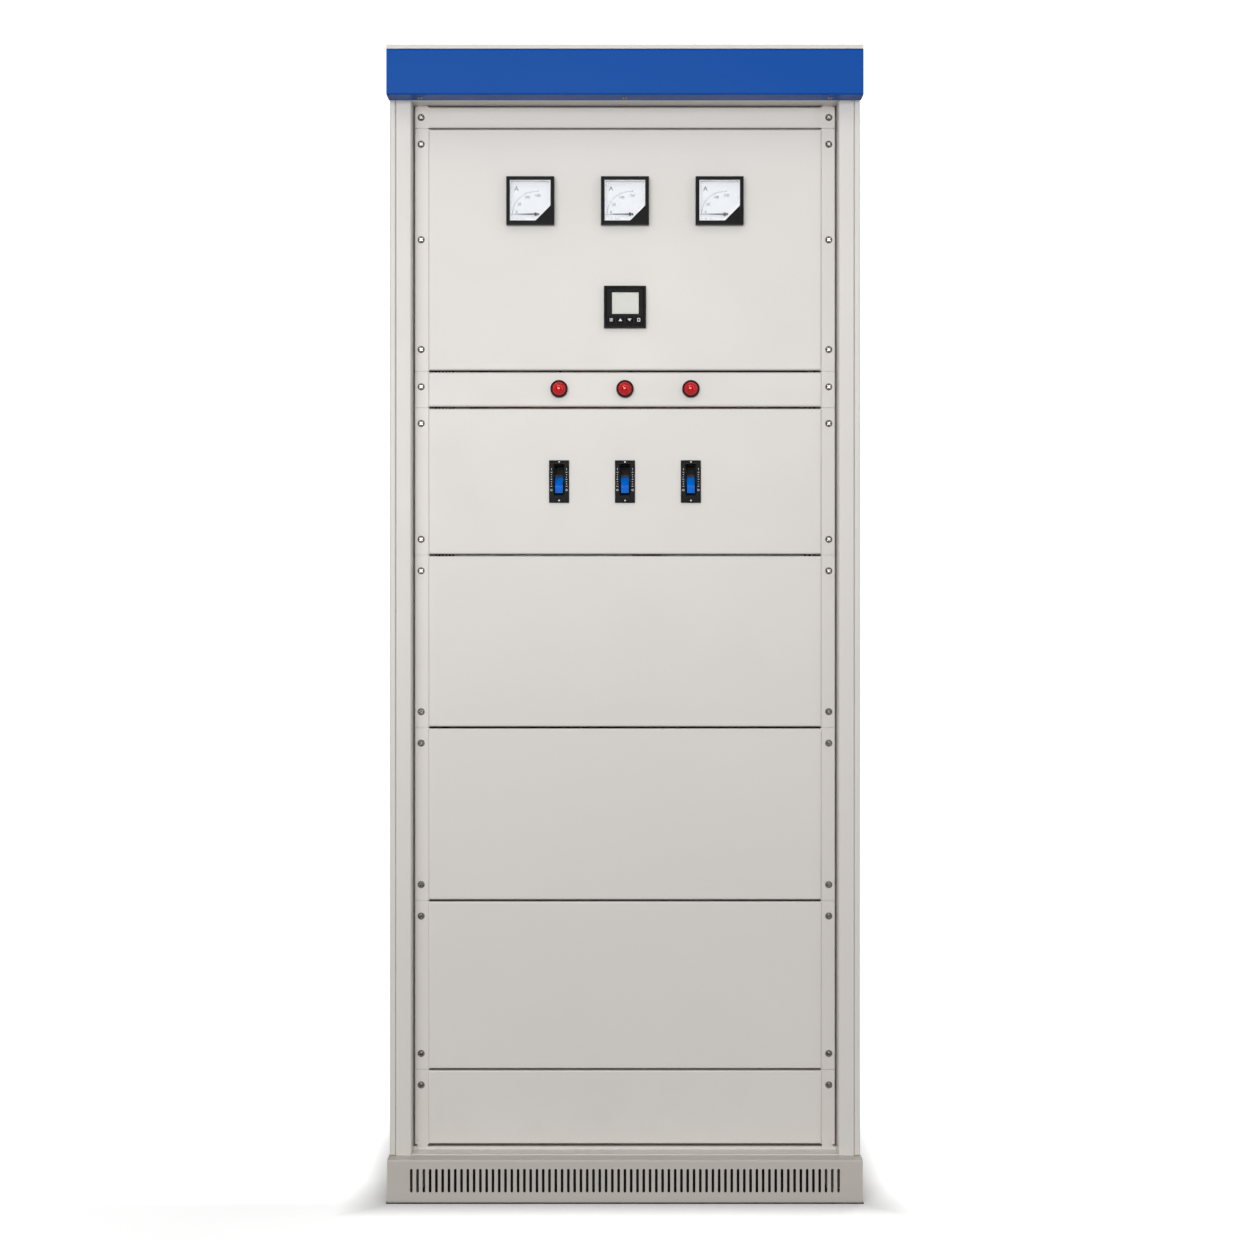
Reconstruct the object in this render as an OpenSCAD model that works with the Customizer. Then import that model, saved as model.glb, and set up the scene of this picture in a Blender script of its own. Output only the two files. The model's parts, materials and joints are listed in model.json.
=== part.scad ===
// Free-standing switchboard cabinet: a steel frame with screwed front panels, three ammeters,
// a panel power meter, three signal lamps, three moulded-case breakers and a hinged rear door.
// Millimetres. X runs to the right, Y to the back, Z up. The origin is on the floor below the
// middle of the frame.

/* [Cabinet] */
// Width over the two side panels
cab_w = 800; // [790:5:820]
// Depth of the frame, over the front and rear posts
frame_d = 560; // [540:10:620]
// Height of the plinth
plinth_h = 73; // [70:1:90]
// Depth of the side panel's folded edge
side_t = 9.5; // [8:0.5:12]
// Width of a corner post, seen from the front
post_w = 27; // [25:1:30]
// Depth of a corner post, front to back
post_d = 70; // [65:1:80]
// Thickness of the frame's sheet steel
sheet = 2; // [1.5:0.5:2.5]
// Thickness of the covers' sheet steel
skin = 1.5; // [1.2:0.1:1.8]
// Outer radius of the folds
fold_r = 3; // [2:0.1:3]

/* [Front panels] */
// Set-back of the front panels behind the posts
recess = 38; // [34:1:42]
// Gap between a panel's edge and the post beside it
edge_gap = 3.5; // [3:0.5:4]
// Width of the flange that takes the panel screws
flange_w = 22.5; // [20:0.5:24]
// How far a panel's field stands in front of its flanges
field_out = 3; // [2:0.5:4]
// Gap between two panel fields
joint = 3.5; // [3:0.5:4]
// Height of the trim strip at the top
strip_h = 37; // [35:1:40]
// Height of the meter panel
meter_h = 417; // [410:1:430]
// Height of the lamp panel
lamp_h = 62.5; // [60:0.5:70]
// Height of the breaker panel
breaker_h = 253; // [250:1:260]
// Height of the upper blank panel
upper_h = 296; // [290:1:300]
// Height of the middle blank panel
middle_h = 297; // [290:1:300]
// Height of the lower blank panel
lower_h = 290; // [285:1:300]
// Height of the bottom panel
bottom_h = 129; // [120:1:135]

/* [Header and plinth] */
// Height of the header's blue face
header_h = 77; // [74:1:80]
// Overhang of the header in front of the posts
header_out = 45; // [40:1:50]
// Height of the roof's edge above the header
roof_h = 7; // [6:0.5:9]
// Overhang of the plinth in front of the posts
plinth_out = 34; // [30:1:40]
// Number of vent slots in the plinth
slots = 69; // [61:2:69]
// Distance from one vent slot to the next
slot_pitch = 10.6; // [10:0.1:10.7]
// Width of a vent slot
slot_w = 4.5; // [3:0.5:5]
// Height of a vent slot
slot_h = 40; // [30:1:44]

/* [Devices] */
// Side of an ammeter's square front
ammeter = 82; // [80:1:84]
// Distance from one ammeter to the next
ammeter_pitch = 162; // [150:1:170]
// Side of the power meter's square front
power_meter = 72; // [72:0.5:74]
// Diameter of a signal lamp's black ring
lamp_d = 29.7; // [28:0.1:31]
// Distance from one lamp or breaker to the next
device_pitch = 113; // [110:1:118]
// Tilt of a breaker handle below and above its middle position
handle_tilt = 34; // [30:1:35]

/* [Rear door] */
// Radius of a hinge knuckle
knuckle_r = 6; // [5.5:0.1:6.2]
// Radius of a hinge pin
pin_r = 3; // [2.5:0.1:3.5]
// Running clearance around pins and spindles
run_gap = 0.05; // [0.03:0.01:0.09]

/* [Hidden] */

$fn = 48;
cut = 1; // how far a cutting tool runs past the face that it cuts

// Colours
paint = [0.87, 0.86, 0.84];
plinth_paint = [0.74, 0.72, 0.69];
header_blue = [0.11, 0.33, 0.66];
zinc = [0.78, 0.78, 0.8];
black_plastic = [0.1, 0.1, 0.11];
copper = [0.78, 0.46, 0.28];

// Frame planes
side_x = cab_w / 2; // outer face of a side panel
post_out_x = side_x - side_t;
post_in_x = post_out_x - post_w;
front_y = -frame_d / 2; // front face of the posts
back_y = frame_d / 2; // back face of the posts
lip = 14; // lip that turns in along the open side of a post
rail_h = 40; // height of a front-to-back rail
rail_span = frame_d - 2 * post_d;

// Panel planes
flange_y = front_y + recess; // front face of the panel flanges
field_y = flange_y - field_out; // front face of the panel fields
upright_y = flange_y + skin; // front face of the uprights
panel_x = post_in_x - edge_gap;
field_x = panel_x - flange_w;
screw_x = panel_x - 10;
hat_d = 24; // depth of the hat strips that take the panel screws
return_d = 14; // depth of a panel's folded top and bottom edges

// Panel heights, from the floor up
sill_rise = 7;
sill_z = plinth_h + sill_rise; // top of the front sill
stack_z = sill_z + 3.5; // bottom edge of the lowest panel
bottom_z = stack_z + bottom_h;
lower_z = bottom_z + lower_h;
middle_z = lower_z + middle_h;
upper_z = middle_z + upper_h;
breaker_z = upper_z + breaker_h;
lamp_z = breaker_z + lamp_h;
meter_z = lamp_z + meter_h;
strip_z = meter_z + strip_h;
soffit_z = strip_z + 2.5; // underside of the front top rail
header_z = soffit_z + 0.5; // underside of the header
roof_z = header_z + header_h; // bottom edge of the roof cover
cab_h = roof_z + roof_h;
frame_top = cab_h - skin;
screw_inset = 27; // from a panel's edge to its screws

// Each panel's bottom, top and the heights of its screws
strip_screws = [meter_z + 19];
meter_screws = [lamp_z + 37.5, meter_z - 191, meter_z - screw_inset];
lamp_screws = [breaker_z + 36];
breaker_screws = [upper_z + screw_inset, breaker_z - screw_inset];
upper_screws = [middle_z + screw_inset, upper_z - screw_inset];
middle_screws = [lower_z + screw_inset, middle_z - screw_inset];
lower_screws = [bottom_z + screw_inset, lower_z - screw_inset];
bottom_screws = [bottom_z - screw_inset];
all_screws = concat(strip_screws, meter_screws, lamp_screws, breaker_screws, upper_screws,
    middle_screws, lower_screws, bottom_screws);
screw_r = 3;
head_r = 6.25;
head_h = 3.6;
sunk_r = 5; // head of a countersunk screw

// Side panel and header screws
side_screw_z = [150, 1000, 1850];
side_screw_y = frame_d / 2 - 7;
header_screw_x = [-347, 0, 347];
header_screw_y = front_y - 19;

// Plinth
plinth_x = side_x + 1.2;
plinth_y = front_y - plinth_out;
plinth_back_y = back_y + 20;
grille_d = 52; // depth of the grille's top, bottom and end returns
channel_w = 51; // width of the plinth channels' flanges
anchor_x = 370;
anchor_y = 220;
anchor_r = 7;

// Header and roof
header_x = side_x + 1.5;
header_y = front_y - header_out;
lift_x = post_in_x + post_w / 2;
lift_y = frame_d / 2 - post_d / 2;
lift_r = 7;

// Floor plates and the cable slot between them
cable_slot_y = [95, 190];

// Ammeters
ammeter_z = meter_z - 126;
ammeter_x = [-ammeter_pitch, 0, ammeter_pitch];
ammeter_out = 14; // how far the housing stands in front of the field
ammeter_body = 71;
ammeter_win = 34.6; // half-width of the window
ammeter_cut = 43.5; // x minus z along the black corner's slanted edge
needle_at = [8.5, -22.5]; // the needle's pivot, from the middle of the meter
needle_len = 37.5;
zero_at = [29, -30.8];
zero_r = 2.9;
dial_y = field_y - 2; // back of the dial plate

// Power meter
power_z = lamp_z + 109.5;
power_out = 9;
power_face = 1; // depth of the face plate behind the rim
screen_at = [0.7, 6.3];
screen_size = [46, 37];
button_pitch = 15.7;
button_dz = -22.5;
button_size = [10, 8];

// Lamps
lamps_z = breaker_z + 31.8;
lens_r = 12;
lamp_hole_r = 11.15;

// Breakers
esc_z = upper_z + 126; // middle of an escutcheon
esc_size = [34.3, 72.7];
esc_out = 4;
slot_x = 9.25; // half-width of the escutcheon's opening
slot_half = 26.8;
slot_rise = 2.8; // the opening's middle above the escutcheon's
pivot_z = esc_z + slot_rise;
pivot_y = -226;
hub_r = 9.5;
plate_y = -120; // front face of the device plate
case_size = [90, 80, 155];
nose_y = -233;
collar_y = -235.5; // back of an escutcheon's collar
phase_pitch = 30;

// Busbars
bar_z = [1350, 1400, 1450];
bar_y = -157;
bar_size = [660, 5, 30];

// Rear door
door_gap = 4;
door_in_y = back_y + door_gap;
door_out_y = back_y + 20;
door_x = [-398, 386];
door_z = [plinth_h + 3, roof_z - 3];
hinge_at = [393, back_y + 16.5];
hinge_z = [250, 1000, 1750];
handle_at = [-318, 1010];
spindle_r = 6;
cam_y = 252;

// ---------- helpers ----------

// Box between two corners
module block(a, b) translate(a) cube(b - a);

// The same piece on the right and, mirrored, on the left
module both_sides() {
    children();
    mirror([1, 0, 0]) children();
}

// Cylinder along Y from y0 to y1 at [x, z]
module along_y(at, r, y0, y1) translate([at[0], y1, at[1]]) rotate([90, 0, 0]) cylinder(r = r, h = y1 - y0);

// Cylinder along X from x0 to x1 at [y, z]
module along_x(at, r, x0, x1) translate([x0, at[0], at[1]]) rotate([0, 90, 0]) cylinder(r = r, h = x1 - x0);

// Outline in the XZ plane, as thick as y0 to y1
module plate_xz(y0, y1) translate([0, y1, 0]) rotate([90, 0, 0]) linear_extrude(y1 - y0) children();

// Outline in the YZ plane, as long as x0 to x1
module plate_yz(x0, x1) translate([x0, 0, 0]) rotate([90, 0, 90]) linear_extrude(x1 - x0) children();

// Outline in the plan, with y first and x second, from height z0 to z1
module plan(z0, z1) translate([0, 0, z0]) linear_extrude(z1 - z0) mirror([1, -1, 0]) children();

// Rectangle from a0 to a1 by b0 to b1 whose two corners at a0 are round
module round_front(a0, a1, b0, b1, r = fold_r) {
    translate([a0 + r, b0]) square([a1 - a0 - r, b1 - b0]);
    translate([a0, b0 + r]) square([a1 - a0, b1 - b0 - 2 * r]);
    for (b = [b0 + r, b1 - r]) translate([a0 + r, b]) circle(r = r);
}

// Sheet folded back along both edges, open at a1
module folded(a0, a1, b0, b1) difference() {
    round_front(a0, a1, b0, b1);
    round_front(a0 + skin, a1 + cut, b0 + skin, b1 - skin, fold_r - skin);
}

// ---------- frame ----------

// Right-hand corner post at the front: a lipped channel, open towards the side panel
module post() {
    difference() {
        plan(plinth_h, frame_top) round_front(front_y, front_y + post_d, post_in_x, post_out_x);
        block([post_in_x + sheet, front_y + sheet, plinth_h + 5],
            [post_out_x - sheet, front_y + post_d - sheet, frame_top - 5]);
        block([post_out_x - sheet - cut, front_y + lip, plinth_h + 5],
            [post_out_x + cut, front_y + post_d - lip, frame_top - 5]);
        translate([lift_x, front_y + post_d / 2, frame_top - 5 - cut]) cylinder(r = lift_r, h = 5 + 2 * cut);
        for (z = side_screw_z) along_x([-side_screw_y, z], screw_r + run_gap, post_out_x - sheet - cut,
            post_out_x + cut);
    }
}

// Keeper that the lock cam turns behind
module keeper() block([-post_in_x, cam_y + 6, handle_at[1] - 30],
    [handle_at[0] - 28, cam_y + 9, handle_at[1] + 30]);

module top_rail_front() color(paint) {
    plate_yz(-post_in_x, post_in_x) polygon([[front_y, soffit_z], [front_y + 55, soffit_z],
        [front_y + 55, soffit_z + sheet], [front_y + sheet, soffit_z + sheet],
        [front_y + sheet, frame_top - sheet], [front_y + 40, frame_top - sheet],
        [front_y + 40, frame_top], [front_y, frame_top]]);
    // Tabs that the header's screws go into
    for (x = header_screw_x) difference() {
        block([x - 15, front_y - 30, header_z + skin], [x + 15, front_y, header_z + skin + sheet]);
        translate([x, header_screw_y, header_z - cut]) cylinder(r = 2 + run_gap, h = 10);
    }
}

// Front sill: a step up from the plinth to the plane of the panels
module bottom_rail_front() color(paint) plate_yz(-post_in_x, post_in_x) polygon([
    [front_y, plinth_h], [flange_y + sheet, plinth_h], [flange_y + sheet, sill_z - sheet],
    [flange_y + 27, sill_z - sheet], [flange_y + 27, plinth_h], [flange_y + 29, plinth_h],
    [flange_y + 29, sill_z], [flange_y, sill_z], [flange_y, plinth_h + sheet],
    [front_y, plinth_h + sheet]]);

module rear_rail(z0, z1) plate_yz(-post_in_x, post_in_x) difference() {
    translate([back_y - 40, z0]) square([40, z1 - z0]);
    translate([back_y - 40 - cut, z0 + sheet]) square([40 + cut - sheet, z1 - z0 - 2 * sheet]);
}

module rear_rails() color(paint) {
    rear_rail(plinth_h, plinth_h + 27);
    rear_rail(frame_top - 40, frame_top);
}

// Front-to-back channel between two posts, open towards the side panel
module depth_rail(z) difference() {
    block([post_in_x, -rail_span / 2, z], [post_out_x, rail_span / 2, z + rail_h]);
    block([post_in_x + sheet, -rail_span / 2 - cut, z + sheet],
        [post_out_x + cut, rail_span / 2 + cut, z + rail_h - sheet]);
}

module depth_rails() color(paint)
    for (z = [plinth_h, 1010, 1450, frame_top - rail_h]) both_sides() depth_rail(z);

// Hat strip behind the panel flanges, with a threaded hole for each panel screw
module panel_uprights() color(paint) both_sides() difference() {
    plan(sill_z, soffit_z) {
        translate([upright_y, field_x + 1]) square([sheet, panel_x - 3 - field_x - 1]);
        translate([upright_y, panel_x - 3 - sheet]) square([hat_d, sheet]);
        translate([upright_y + hat_d - sheet, panel_x - 3 - sheet])
            square([sheet, post_in_x - panel_x + 3 + sheet]);
    }
    for (z = all_screws)
        along_y([screw_x, z], screw_r + run_gap, upright_y - cut, upright_y + sheet + cut);
}

// ---------- covers ----------

module side_panel() color(paint) difference() {
    plan(plinth_h + 1, frame_top) round_front(front_y, back_y, post_out_x, side_x, 2);
    block([post_out_x - cut, front_y + skin, plinth_h + 1 + skin],
        [side_x - skin, back_y - skin, frame_top - skin]);
    for (y = [-side_screw_y, side_screw_y], z = side_screw_z)
        translate([side_x - skin, y, z]) rotate([0, 90, 0]) {
            cylinder(r1 = screw_r + 0.3, r2 = sunk_r + 0.4, h = skin + 0.3);
            translate([0, 0, -cut]) cylinder(r = screw_r + 0.3, h = 2 * cut);
        }
}

module roof_cover() color(paint) difference() {
    block([-header_x, header_y, roof_z], [header_x, door_out_y, cab_h]);
    block([-header_x + skin, header_y + skin, roof_z - cut],
        [header_x - skin, door_out_y - skin, cab_h - skin]);
    for (x = [-lift_x, lift_x], y = [-lift_y, lift_y])
        translate([x, y, cab_h - skin - cut]) cylinder(r = lift_r, h = skin + 2 * cut);
}

module header_fascia() color(header_blue) difference() {
    plate_yz(-header_x, header_x) round_front(header_y, front_y, header_z, roof_z);
    plate_yz(-header_x + skin, header_x - skin)
        round_front(header_y + skin, front_y + cut, header_z + skin, roof_z - skin, fold_r - skin);
    for (x = header_screw_x)
        translate([x, header_screw_y, header_z - cut]) cylinder(r = 2.3, h = skin + 2 * cut);
}

// Slot outline with round ends
module vent_slot(x) {
    translate([x - slot_w / 2, -slot_h / 2 + slot_w / 2]) square([slot_w, slot_h - slot_w]);
    for (s = [-1, 1]) translate([x, s * (slot_h - slot_w) / 2]) circle(d = slot_w);
}

module plinth_grille() color(plinth_paint) difference() {
    plate_yz(-plinth_x, plinth_x) round_front(plinth_y, plinth_y + grille_d, 0, plinth_h);
    plate_yz(-plinth_x + skin, plinth_x - skin)
        round_front(plinth_y + skin, plinth_y + grille_d + cut, skin, plinth_h - skin, fold_r - skin);
    translate([0, 0, 38]) plate_xz(plinth_y - cut, plinth_y + skin + cut)
        for (i = [0 : slots - 1]) vent_slot((i - (slots - 1) / 2) * slot_pitch);
}

// Channel along one side of the plinth, with the holes for the floor anchors
module plinth_channel() difference() {
    block([plinth_x - channel_w, plinth_y + grille_d, 0], [plinth_x, plinth_back_y - skin, plinth_h]);
    block([plinth_x - channel_w - cut, plinth_y + grille_d - cut, sheet],
        [plinth_x - sheet, plinth_back_y, plinth_h - sheet]);
    for (y = [-anchor_y, anchor_y])
        translate([anchor_x, y, -cut]) cylinder(r = anchor_r, h = sheet + 2 * cut);
}

module plinth_channels() color(plinth_paint) {
    both_sides() plinth_channel();
    block([-plinth_x, plinth_back_y - skin, 0], [plinth_x, plinth_back_y, plinth_h]);
}

module floor_plates() color(zinc) {
    block([-post_in_x, flange_y + 29, plinth_h], [post_in_x, cable_slot_y[0], plinth_h + skin]);
    block([-post_in_x, cable_slot_y[1], plinth_h], [post_in_x, back_y - 40, plinth_h + skin]);
}

// ---------- front panels ----------

// Folded panel between heights z0 and z1: a raised field between two screw flanges
module panel(z0, z1, screws) color(paint) difference() {
    intersection() {
        union() {
            both_sides() {
                block([field_x - skin, flange_y, z0 + 0.5], [panel_x, upright_y, z1 - 0.5]);
                plate_yz(field_x - skin, field_x)
                    round_front(field_y, upright_y, z0 + joint / 2, z1 - joint / 2, fold_r);
            }
            plate_yz(-field_x, field_x) folded(field_y, field_y + return_d, z0 + joint / 2, z1 - joint / 2);
        }
        plan(z0, z1) union() {
            round_front(field_y, field_y + return_d, -field_x, field_x);
            translate([flange_y, -panel_x]) square([skin, 2 * panel_x]);
        }
    }
    panel_holes(screws);
}

module panel_holes(screws) for (z = screws, x = [-screw_x, screw_x])
    along_y([x, z], screw_r + 0.3, flange_y - cut, upright_y + cut);

// Flat strip above the meter panel
module trim_strip() color(paint) difference() {
    union() {
        both_sides() block([field_x - skin, flange_y, meter_z + 0.9], [panel_x, upright_y, strip_z]);
        plate_yz(-field_x, field_x) folded(flange_y, flange_y + return_d, meter_z + 0.9, strip_z);
    }
    panel_holes(strip_screws);
}

// Square cut-out of a given side at [x, z]
module cutout(at, w, h) block([at[0] - w / 2, field_y - cut, at[1] - h / 2],
    [at[0] + w / 2, field_y + skin + cut, at[1] + h / 2]);

module meter_panel() color(paint) difference() {
    panel(lamp_z, meter_z, meter_screws);
    for (x = ammeter_x) cutout([x, ammeter_z], ammeter_body + 1, ammeter_body + 1);
    cutout([0, power_z], power_meter - 4, power_meter - 4);
}

module lamp_panel() color(paint) difference() {
    panel(breaker_z, lamp_z, lamp_screws);
    for (x = [-1, 0, 1])
        along_y([x * device_pitch, lamps_z], lamp_hole_r, field_y - cut, field_y + skin + cut);
}

// Outline that an escutcheon's collar fills, grown by a gap, from the escutcheon's middle
module collar_outline(grow) translate([-slot_x - 4 - grow, -28.5 - grow])
    square([2 * (slot_x + 4 + grow), 59 + 2 * grow]);

esc_screw_z = [-32.5, 33.5];

module breaker_panel() color(paint) difference() {
    panel(upper_z, breaker_z, breaker_screws);
    for (x = [-1, 0, 1]) translate([x * device_pitch, 0, esc_z]) {
        plate_xz(field_y - cut, field_y + skin + cut) collar_outline(0.5);
        for (z = esc_screw_z) along_y([0, z], 1.2, field_y - cut, field_y + skin + cut);
    }
}

// The lowest panel also has a blind rivet near each lower corner
module bottom_panel() {
    panel(stack_z, bottom_z, bottom_screws);
    color(paint) both_sides() translate([panel_x - 4, flange_y, stack_z + 6]) rotate([90, 0, 0])
        cylinder(r1 = 2.2, r2 = 1.5, h = 0.9);
}

// ---------- fasteners ----------

// Pan-head screw with a cross recess, its head on the plane y = 0 and its shank along +Y
module pan_screw(head, height, shank, length) {
    ball = (head * head + height * height) / (2 * height);
    difference() {
        intersection() {
            translate([0, ball - height, 0]) sphere(r = ball);
            along_y([0, 0], head, -height, 0);
        }
        for (turn = [45, 135]) rotate([0, turn, 0])
            block([-head * 0.14, -height - cut, -head * 0.55], [head * 0.14, -height * 0.5, head * 0.55]);
    }
    along_y([0, 0], shank, 0, length);
}

module panel_screws() color(zinc) for (z = all_screws, x = [-screw_x, screw_x])
    translate([x, flange_y, z]) pan_screw(head_r, head_h, screw_r, 11);

// Countersunk screw with a cross recess, its head flush with the plane y = 0
module flat_screw() difference() {
    union() {
        rotate([-90, 0, 0]) cylinder(r1 = sunk_r, r2 = screw_r, h = skin);
        along_y([0, 0], screw_r, 0, 16);
    }
    for (turn = [45, 135]) rotate([0, turn, 0]) block([-0.7, -cut, -2.8], [0.7, 1.2, 2.8]);
}

module cover_screws() color(zinc) {
    for (z = side_screw_z, y = [-side_screw_y, side_screw_y]) {
        translate([side_x, y, z]) rotate([0, 0, 90]) flat_screw();
        translate([-side_x, y, z]) rotate([0, 0, -90]) flat_screw();
    }
    for (x = header_screw_x)
        translate([x, header_screw_y, header_z]) rotate([90, 0, 0]) pan_screw(4, 2.4, 2, 8);
    for (x = [-1, 0, 1], z = esc_screw_z)
        translate([x * device_pitch, field_y - esc_out, esc_z + z]) pan_screw(2.4, 1.5, 1.15, 8);
}

// ---------- ammeters ----------

// Window outline: a square whose lower right corner is cut off, shrunk by a gap
module window_outline(gap) {
    w = ammeter_win - gap;
    end = ammeter_cut - ammeter_win - gap; // where the slanted edge meets the others
    polygon([[-w, -w], [end, -w], [w, -end], [w, w], [-w, w]]);
}

module ammeter_housing() {
    front = field_y - ammeter_out;
    difference() {
        union() {
            block([-ammeter / 2, front, -ammeter / 2], [ammeter / 2, field_y, ammeter / 2]);
            block([-ammeter_body / 2, field_y, -ammeter_body / 2],
                [ammeter_body / 2, -200, ammeter_body / 2]);
        }
        plate_xz(front - cut, dial_y) window_outline(0);
        // The black corner lies a little lower than the rim
        plate_xz(front - cut, front + 0.8) polygon([[ammeter_cut - ammeter_win, -ammeter_win],
            [ammeter_win, -ammeter_win], [ammeter_win, ammeter_win - ammeter_cut]]);
        along_y(zero_at, zero_r + run_gap, front - cut, front + 8);
    }
    along_y(needle_at, 0.8, dial_y - 7, dial_y + cut);
    for (x = [-18, 18]) along_y([x, 0], 2.5, -200 - cut, -186);
}

module ammeter_housings() color(black_plastic)
    for (x = ammeter_x) translate([x, 0, ammeter_z]) ammeter_housing();

module ammeter_dials() color("white")
    for (x = ammeter_x) translate([x, 0, ammeter_z]) difference() {
        plate_xz(dial_y - 0.8, dial_y) window_outline(0.3);
        along_y(needle_at, 1.5, dial_y - 2, dial_y + cut);
    }

module ammeter_windows() color([0.9, 0.95, 1, 0.3])
    for (x = ammeter_x) translate([x, 0, ammeter_z])
        plate_xz(field_y - ammeter_out + 0.5, field_y - ammeter_out + 2.5) window_outline(0.15);

// Pointer on its hub, lying level at zero
module needle(x) color(black_plastic)
    translate([x + needle_at[0], 0, ammeter_z + needle_at[1]]) difference() {
        union() {
            along_y([0, 0], 2.6, dial_y - 6, dial_y - 1.2);
            plate_xz(dial_y - 4.6, dial_y - 4) polygon([[6, -1.2], [6, 1.2], [-12, 0.9],
                [-needle_len, 0.3], [-needle_len, -0.3], [-12, -0.9]]);
        }
        along_y([0, 0], 0.8 + run_gap, dial_y - 8, dial_y);
    }

// Slotted screw that sets the needle's zero
module zero_screw(x) color(black_plastic)
    translate([x + zero_at[0], field_y - ammeter_out, ammeter_z + zero_at[1]]) difference() {
        along_y([0, 0], zero_r, 0.2, 7.5);
        block([-zero_r - cut, -cut, -0.45], [zero_r + cut, 1.2, 0.45]);
    }

// ---------- power meter ----------

button_x = [for (i = [0 : 3]) (i - 1.5) * button_pitch];

module power_meter_housing() color(black_plastic) translate([0, 0, power_z]) {
    front = field_y - power_out;
    face = front + power_face;
    half = power_meter / 2;
    body = power_meter / 2 - 2.8;
    difference() {
        union() {
            block([-half, front, -half], [half, field_y, half]);
            block([-body, field_y, -body], [body, -190, body]);
        }
        block([-half + 4, front - cut, -half + 5], [half - 4, face, half - 4]);
        translate([screen_at[0], 0, screen_at[1]])
            block([-screen_size[0] / 2, front - cut, -screen_size[1] / 2],
                [screen_size[0] / 2, face + 2, screen_size[1] / 2]);
        for (x = button_x) translate([x, 0, button_dz])
            block([-button_size[0] / 2 - 0.2, front - cut, -button_size[1] / 2 - 0.2],
                [button_size[0] / 2 + 0.2, face + 7, button_size[1] / 2 + 0.2]);
    }
}

module power_meter_screen() color([0.82, 0.83, 0.78])
    translate([screen_at[0], field_y - power_out + power_face, power_z + screen_at[1]])
        block([-screen_size[0] / 2 + 0.1, 0.8, -screen_size[1] / 2 + 0.1],
            [screen_size[0] / 2 - 0.1, 2, screen_size[1] / 2 - 0.1]);

module meter_button(i) color(black_plastic)
    translate([button_x[i], field_y - power_out + power_face, power_z + button_dz])
        block([-button_size[0] / 2, -1.2, -button_size[1] / 2],
            [button_size[0] / 2, 5, button_size[1] / 2]);

// ---------- signal lamps ----------

module lamp_body() {
    difference() {
        along_y([0, 0], lamp_d / 2, field_y - 8, field_y);
        along_y([0, 0], lens_r + 0.1, field_y - 8 - cut, field_y - 3);
    }
    along_y([0, 0], 11, field_y - cut, -200);
    // Ring nut behind the panel
    translate([0, field_y + skin + 6, 0]) rotate([90, 0, 0]) cylinder(r = 16, h = 6, $fn = 6);
}

module lamp_bodies() color(black_plastic)
    for (x = [-1, 0, 1]) translate([x * device_pitch, 0, lamps_z]) lamp_body();

module lamp_lenses() color("red")
    for (x = [-1, 0, 1]) translate([x * device_pitch, field_y - 2.5, lamps_z]) intersection() {
        sphere(r = 13);
        along_y([0, 0], lens_r, -14, -0.5);
    }

// ---------- breakers ----------

module breaker_case() difference() {
    union() {
        block([-case_size[0] / 2, plate_y - case_size[1], -case_size[2] / 2],
            [case_size[0] / 2, plate_y, case_size[2] / 2]);
        block([-25, nose_y, -38], [25, plate_y - case_size[1] + cut, 42]);
    }
    // Pocket that the handle swings in, and the bores of its trunnions
    block([-7.5, nose_y - cut, slot_rise - 25], [7.5, pivot_y + 13, slot_rise + 25]);
    along_x([pivot_y, slot_rise], 3 + run_gap, -10, 10);
    // Terminal pockets
    for (s = [-1, 1], p = [-1, 0, 1]) block(
        [p * phase_pitch - 11, plate_y - case_size[1] - cut, min(s * 57, s * 79)],
        [p * phase_pitch + 11, -160, max(s * 57, s * 79)]);
}

module breaker_cases() color(black_plastic)
    for (x = [-1, 0, 1]) translate([x * device_pitch, 0, esc_z]) breaker_case();

module breaker_escutcheon() difference() {
    union() {
        block([-esc_size[0] / 2, field_y - esc_out, -esc_size[1] / 2],
            [esc_size[0] / 2, field_y, esc_size[1] / 2]);
        plate_xz(field_y - cut, collar_y) collar_outline(0);
    }
    block([-slot_x, field_y - esc_out - cut, slot_rise - slot_half],
        [slot_x, collar_y + cut, slot_rise + slot_half]);
    for (z = esc_screw_z) along_y([0, z], 1.2, field_y - esc_out - cut, field_y + cut);
}

module breaker_escutcheons() color(black_plastic)
    for (x = [-1, 0, 1]) translate([x * device_pitch, 0, esc_z]) breaker_escutcheon();

// Toggle on its hub, tilted down to the off position
module breaker_handle(x) color([0, 0.4, 0.85])
    translate([x, pivot_y, pivot_z]) rotate([handle_tilt, 0, 0]) {
        plate_yz(-6.5, 6.5) polygon([[0, hub_r - 0.5], [-14, 7.2], [-25, 5.8], [-28.5, 7],
            [-32, 5.6], [-32, -5.6], [-28.5, -7], [-25, -5.8], [-14, -7.2], [0, -hub_r + 0.5]]);
        along_x([0, 0], hub_r, -6.5, 6.5);
        along_x([0, 0], 3, -9.5, 9.5);
    }

// ---------- inside ----------

module device_plate() color(zinc) difference() {
    union() {
        block([-post_in_x, plate_y, 1000], [post_in_x, plate_y + 2.5, 1500]);
        both_sides() block([post_in_x - sheet, plate_y, 1000], [post_in_x, plate_y + 25, 1500]);
    }
    // Slots for cable ties below the breakers
    for (x = [-240 : 60 : 240]) block([x - 10, plate_y - cut, 1018], [x + 10, plate_y + 4, 1022]);
}

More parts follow.
